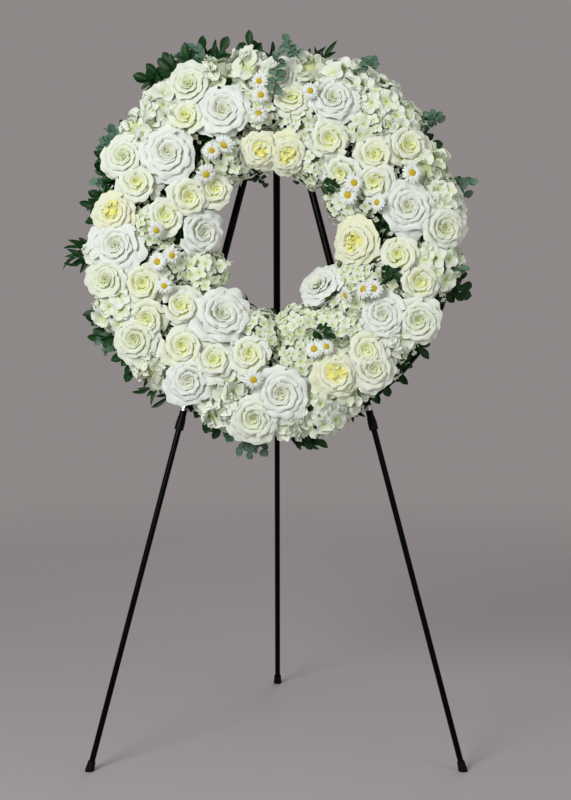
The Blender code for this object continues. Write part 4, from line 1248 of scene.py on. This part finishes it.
def make_floor(colour):
    """A flat square floor on which the three feet stand; away from them it thins into the air."""
    corners = ((-1, -1), (1, -1), (1, 1), (-1, 1))
    corners = [(x * FLOOR_EDGE, y * FLOOR_EDGE, FLOOR_LEVEL) for x, y in corners]
    mesh = bpy.data.meshes.new("floor")
    mesh.from_pydata(corners, [], [(0, 1, 2, 3)])
    finish = Finish("pale studio floor", Roughness=0.9, Specular_IOR_Level=0.05)
    cloud = finish.noise(2.0, detail=2.0)
    reach = finish.vector("LENGTH", finish.place, output="Value")
    thick = ((3.4 - reach) * 0.42).clamped()
    shade = finish.blend(cloud, colour, toned(colour, 1.03))
    mesh.materials.append(finish.done(Base_Color=shade, Alpha=thick * thick * (3.0 - thick * 2.0)))
    linked("floor", mesh)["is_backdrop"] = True


def make_light(name, place, aim, size, power):
    """A soft round lamp at a place, turned to its aim."""
    light = bpy.data.lights.new(name, "AREA")
    light.shape = "DISK"
    light.size = size
    light.energy = power
    thing = linked(name, light)
    thing.location = place
    x, y, z = np.array(aim) - np.array(place)
    thing.rotation_euler = (math.atan2(math.hypot(x, y), -z), 0, math.atan2(-x, y))


def make_camera(studio):
    """The camera before the front feet, tilted down a little."""
    camera = bpy.data.cameras.new("camera")
    camera.sensor_fit = "VERTICAL"
    camera.sensor_height = 36.0
    camera.lens = studio.lens
    thing = linked("camera", camera)
    thing.location = (0.020, FRONT_SOLES - studio.distance, studio.height)
    thing.rotation_euler = (math.pi / 2 - studio.tilt, 0, 0)
    bpy.context.scene.camera = thing


class WREATH_OT_studio(bpy.types.Operator):
    """Pale floor and backdrop, soft lights and the camera"""

    bl_idname = "wreath.studio"
    bl_label = "Studio"

    def execute(self, context):
        studio = context.scene.wreath_studio
        make_floor(studio.floor)
        make_light("key", (-1.9, -3.6, 2.7), (0, -0.2, 0.95), 1.8, studio.key_power)
        make_light("fill", (2.6, -2.6, 1.9), (0, -0.2, 0.9), 2.0, studio.fill_power)
        make_light("back", (0.6, 2.0, 2.6), (0, 0, 1.0), 1.4, studio.fill_power * 0.7)
        world = bpy.data.worlds.new("studio")
        world.use_nodes = True
        background = world.node_tree.nodes["Background"]
        background.inputs["Color"].default_value = (*studio.air, 1.0)
        background.inputs["Strength"].default_value = 1.0
        context.scene.world = world
        context.scene.view_settings.view_transform = "Standard"
        make_camera(studio)
        return {"FINISHED"}


class WREATH_PT_panel(bpy.types.Panel):
    """Lists the steps that dress the wreath"""

    bl_idname = "WREATH_PT_panel"
    bl_label = "Funeral wreath"
    bl_space_type = "VIEW_3D"
    bl_region_type = "UI"
    bl_category = "Wreath"

    def draw(self, context):
        for group in ("wreath_blooms", "wreath_leaves", "wreath_stand", "wreath_studio"):
            settings = getattr(context.scene, group)
            box = self.layout.box()
            for label in settings.bl_rna.properties.keys():
                if label not in ("rna_type", "name"):
                    box.prop(settings, label)
        for step in STEPS:
            self.layout.operator(step.bl_idname)


SETTINGS = {
    "wreath_blooms": BloomSettings,
    "wreath_leaves": LeafSettings,
    "wreath_stand": StandSettings,
    "wreath_studio": StudioSettings,
}
STEPS = (
    WREATH_OT_stand,
    WREATH_OT_base,
    WREATH_OT_large_roses,
    WREATH_OT_peonies,
    WREATH_OT_bunches,
    WREATH_OT_daisies,
    WREATH_OT_garlands,
    WREATH_OT_tucked_leaves,
    WREATH_OT_skirt_leaves,
    WREATH_OT_filler_florets,
    WREATH_OT_front_sprigs,
    WREATH_OT_studio,
)


def register():
    for group in (*SETTINGS.values(), *STEPS, WREATH_PT_panel):
        bpy.utils.register_class(group)
    for name, group in SETTINGS.items():
        setattr(bpy.types.Scene, name, bpy.props.PointerProperty(type=group))


def unregister():
    for name in SETTINGS:
        delattr(bpy.types.Scene, name)
    for group in (WREATH_PT_panel, *reversed(STEPS), *SETTINGS.values()):
        bpy.utils.unregister_class(group)


def main():
    register()
    for step in STEPS:
        category, name = step.bl_idname.split(".")
        if getattr(getattr(bpy.ops, category), name)() != {"FINISHED"}:
            raise RuntimeError(f"{step.bl_label} did not finish")
    bounds = {"cad": CAD_BOX, "dressed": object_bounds()}
    sizes = {label: [list(corner) for corner in box] for label, box in bounds.items()}


if __name__ == "__main__":
    main()
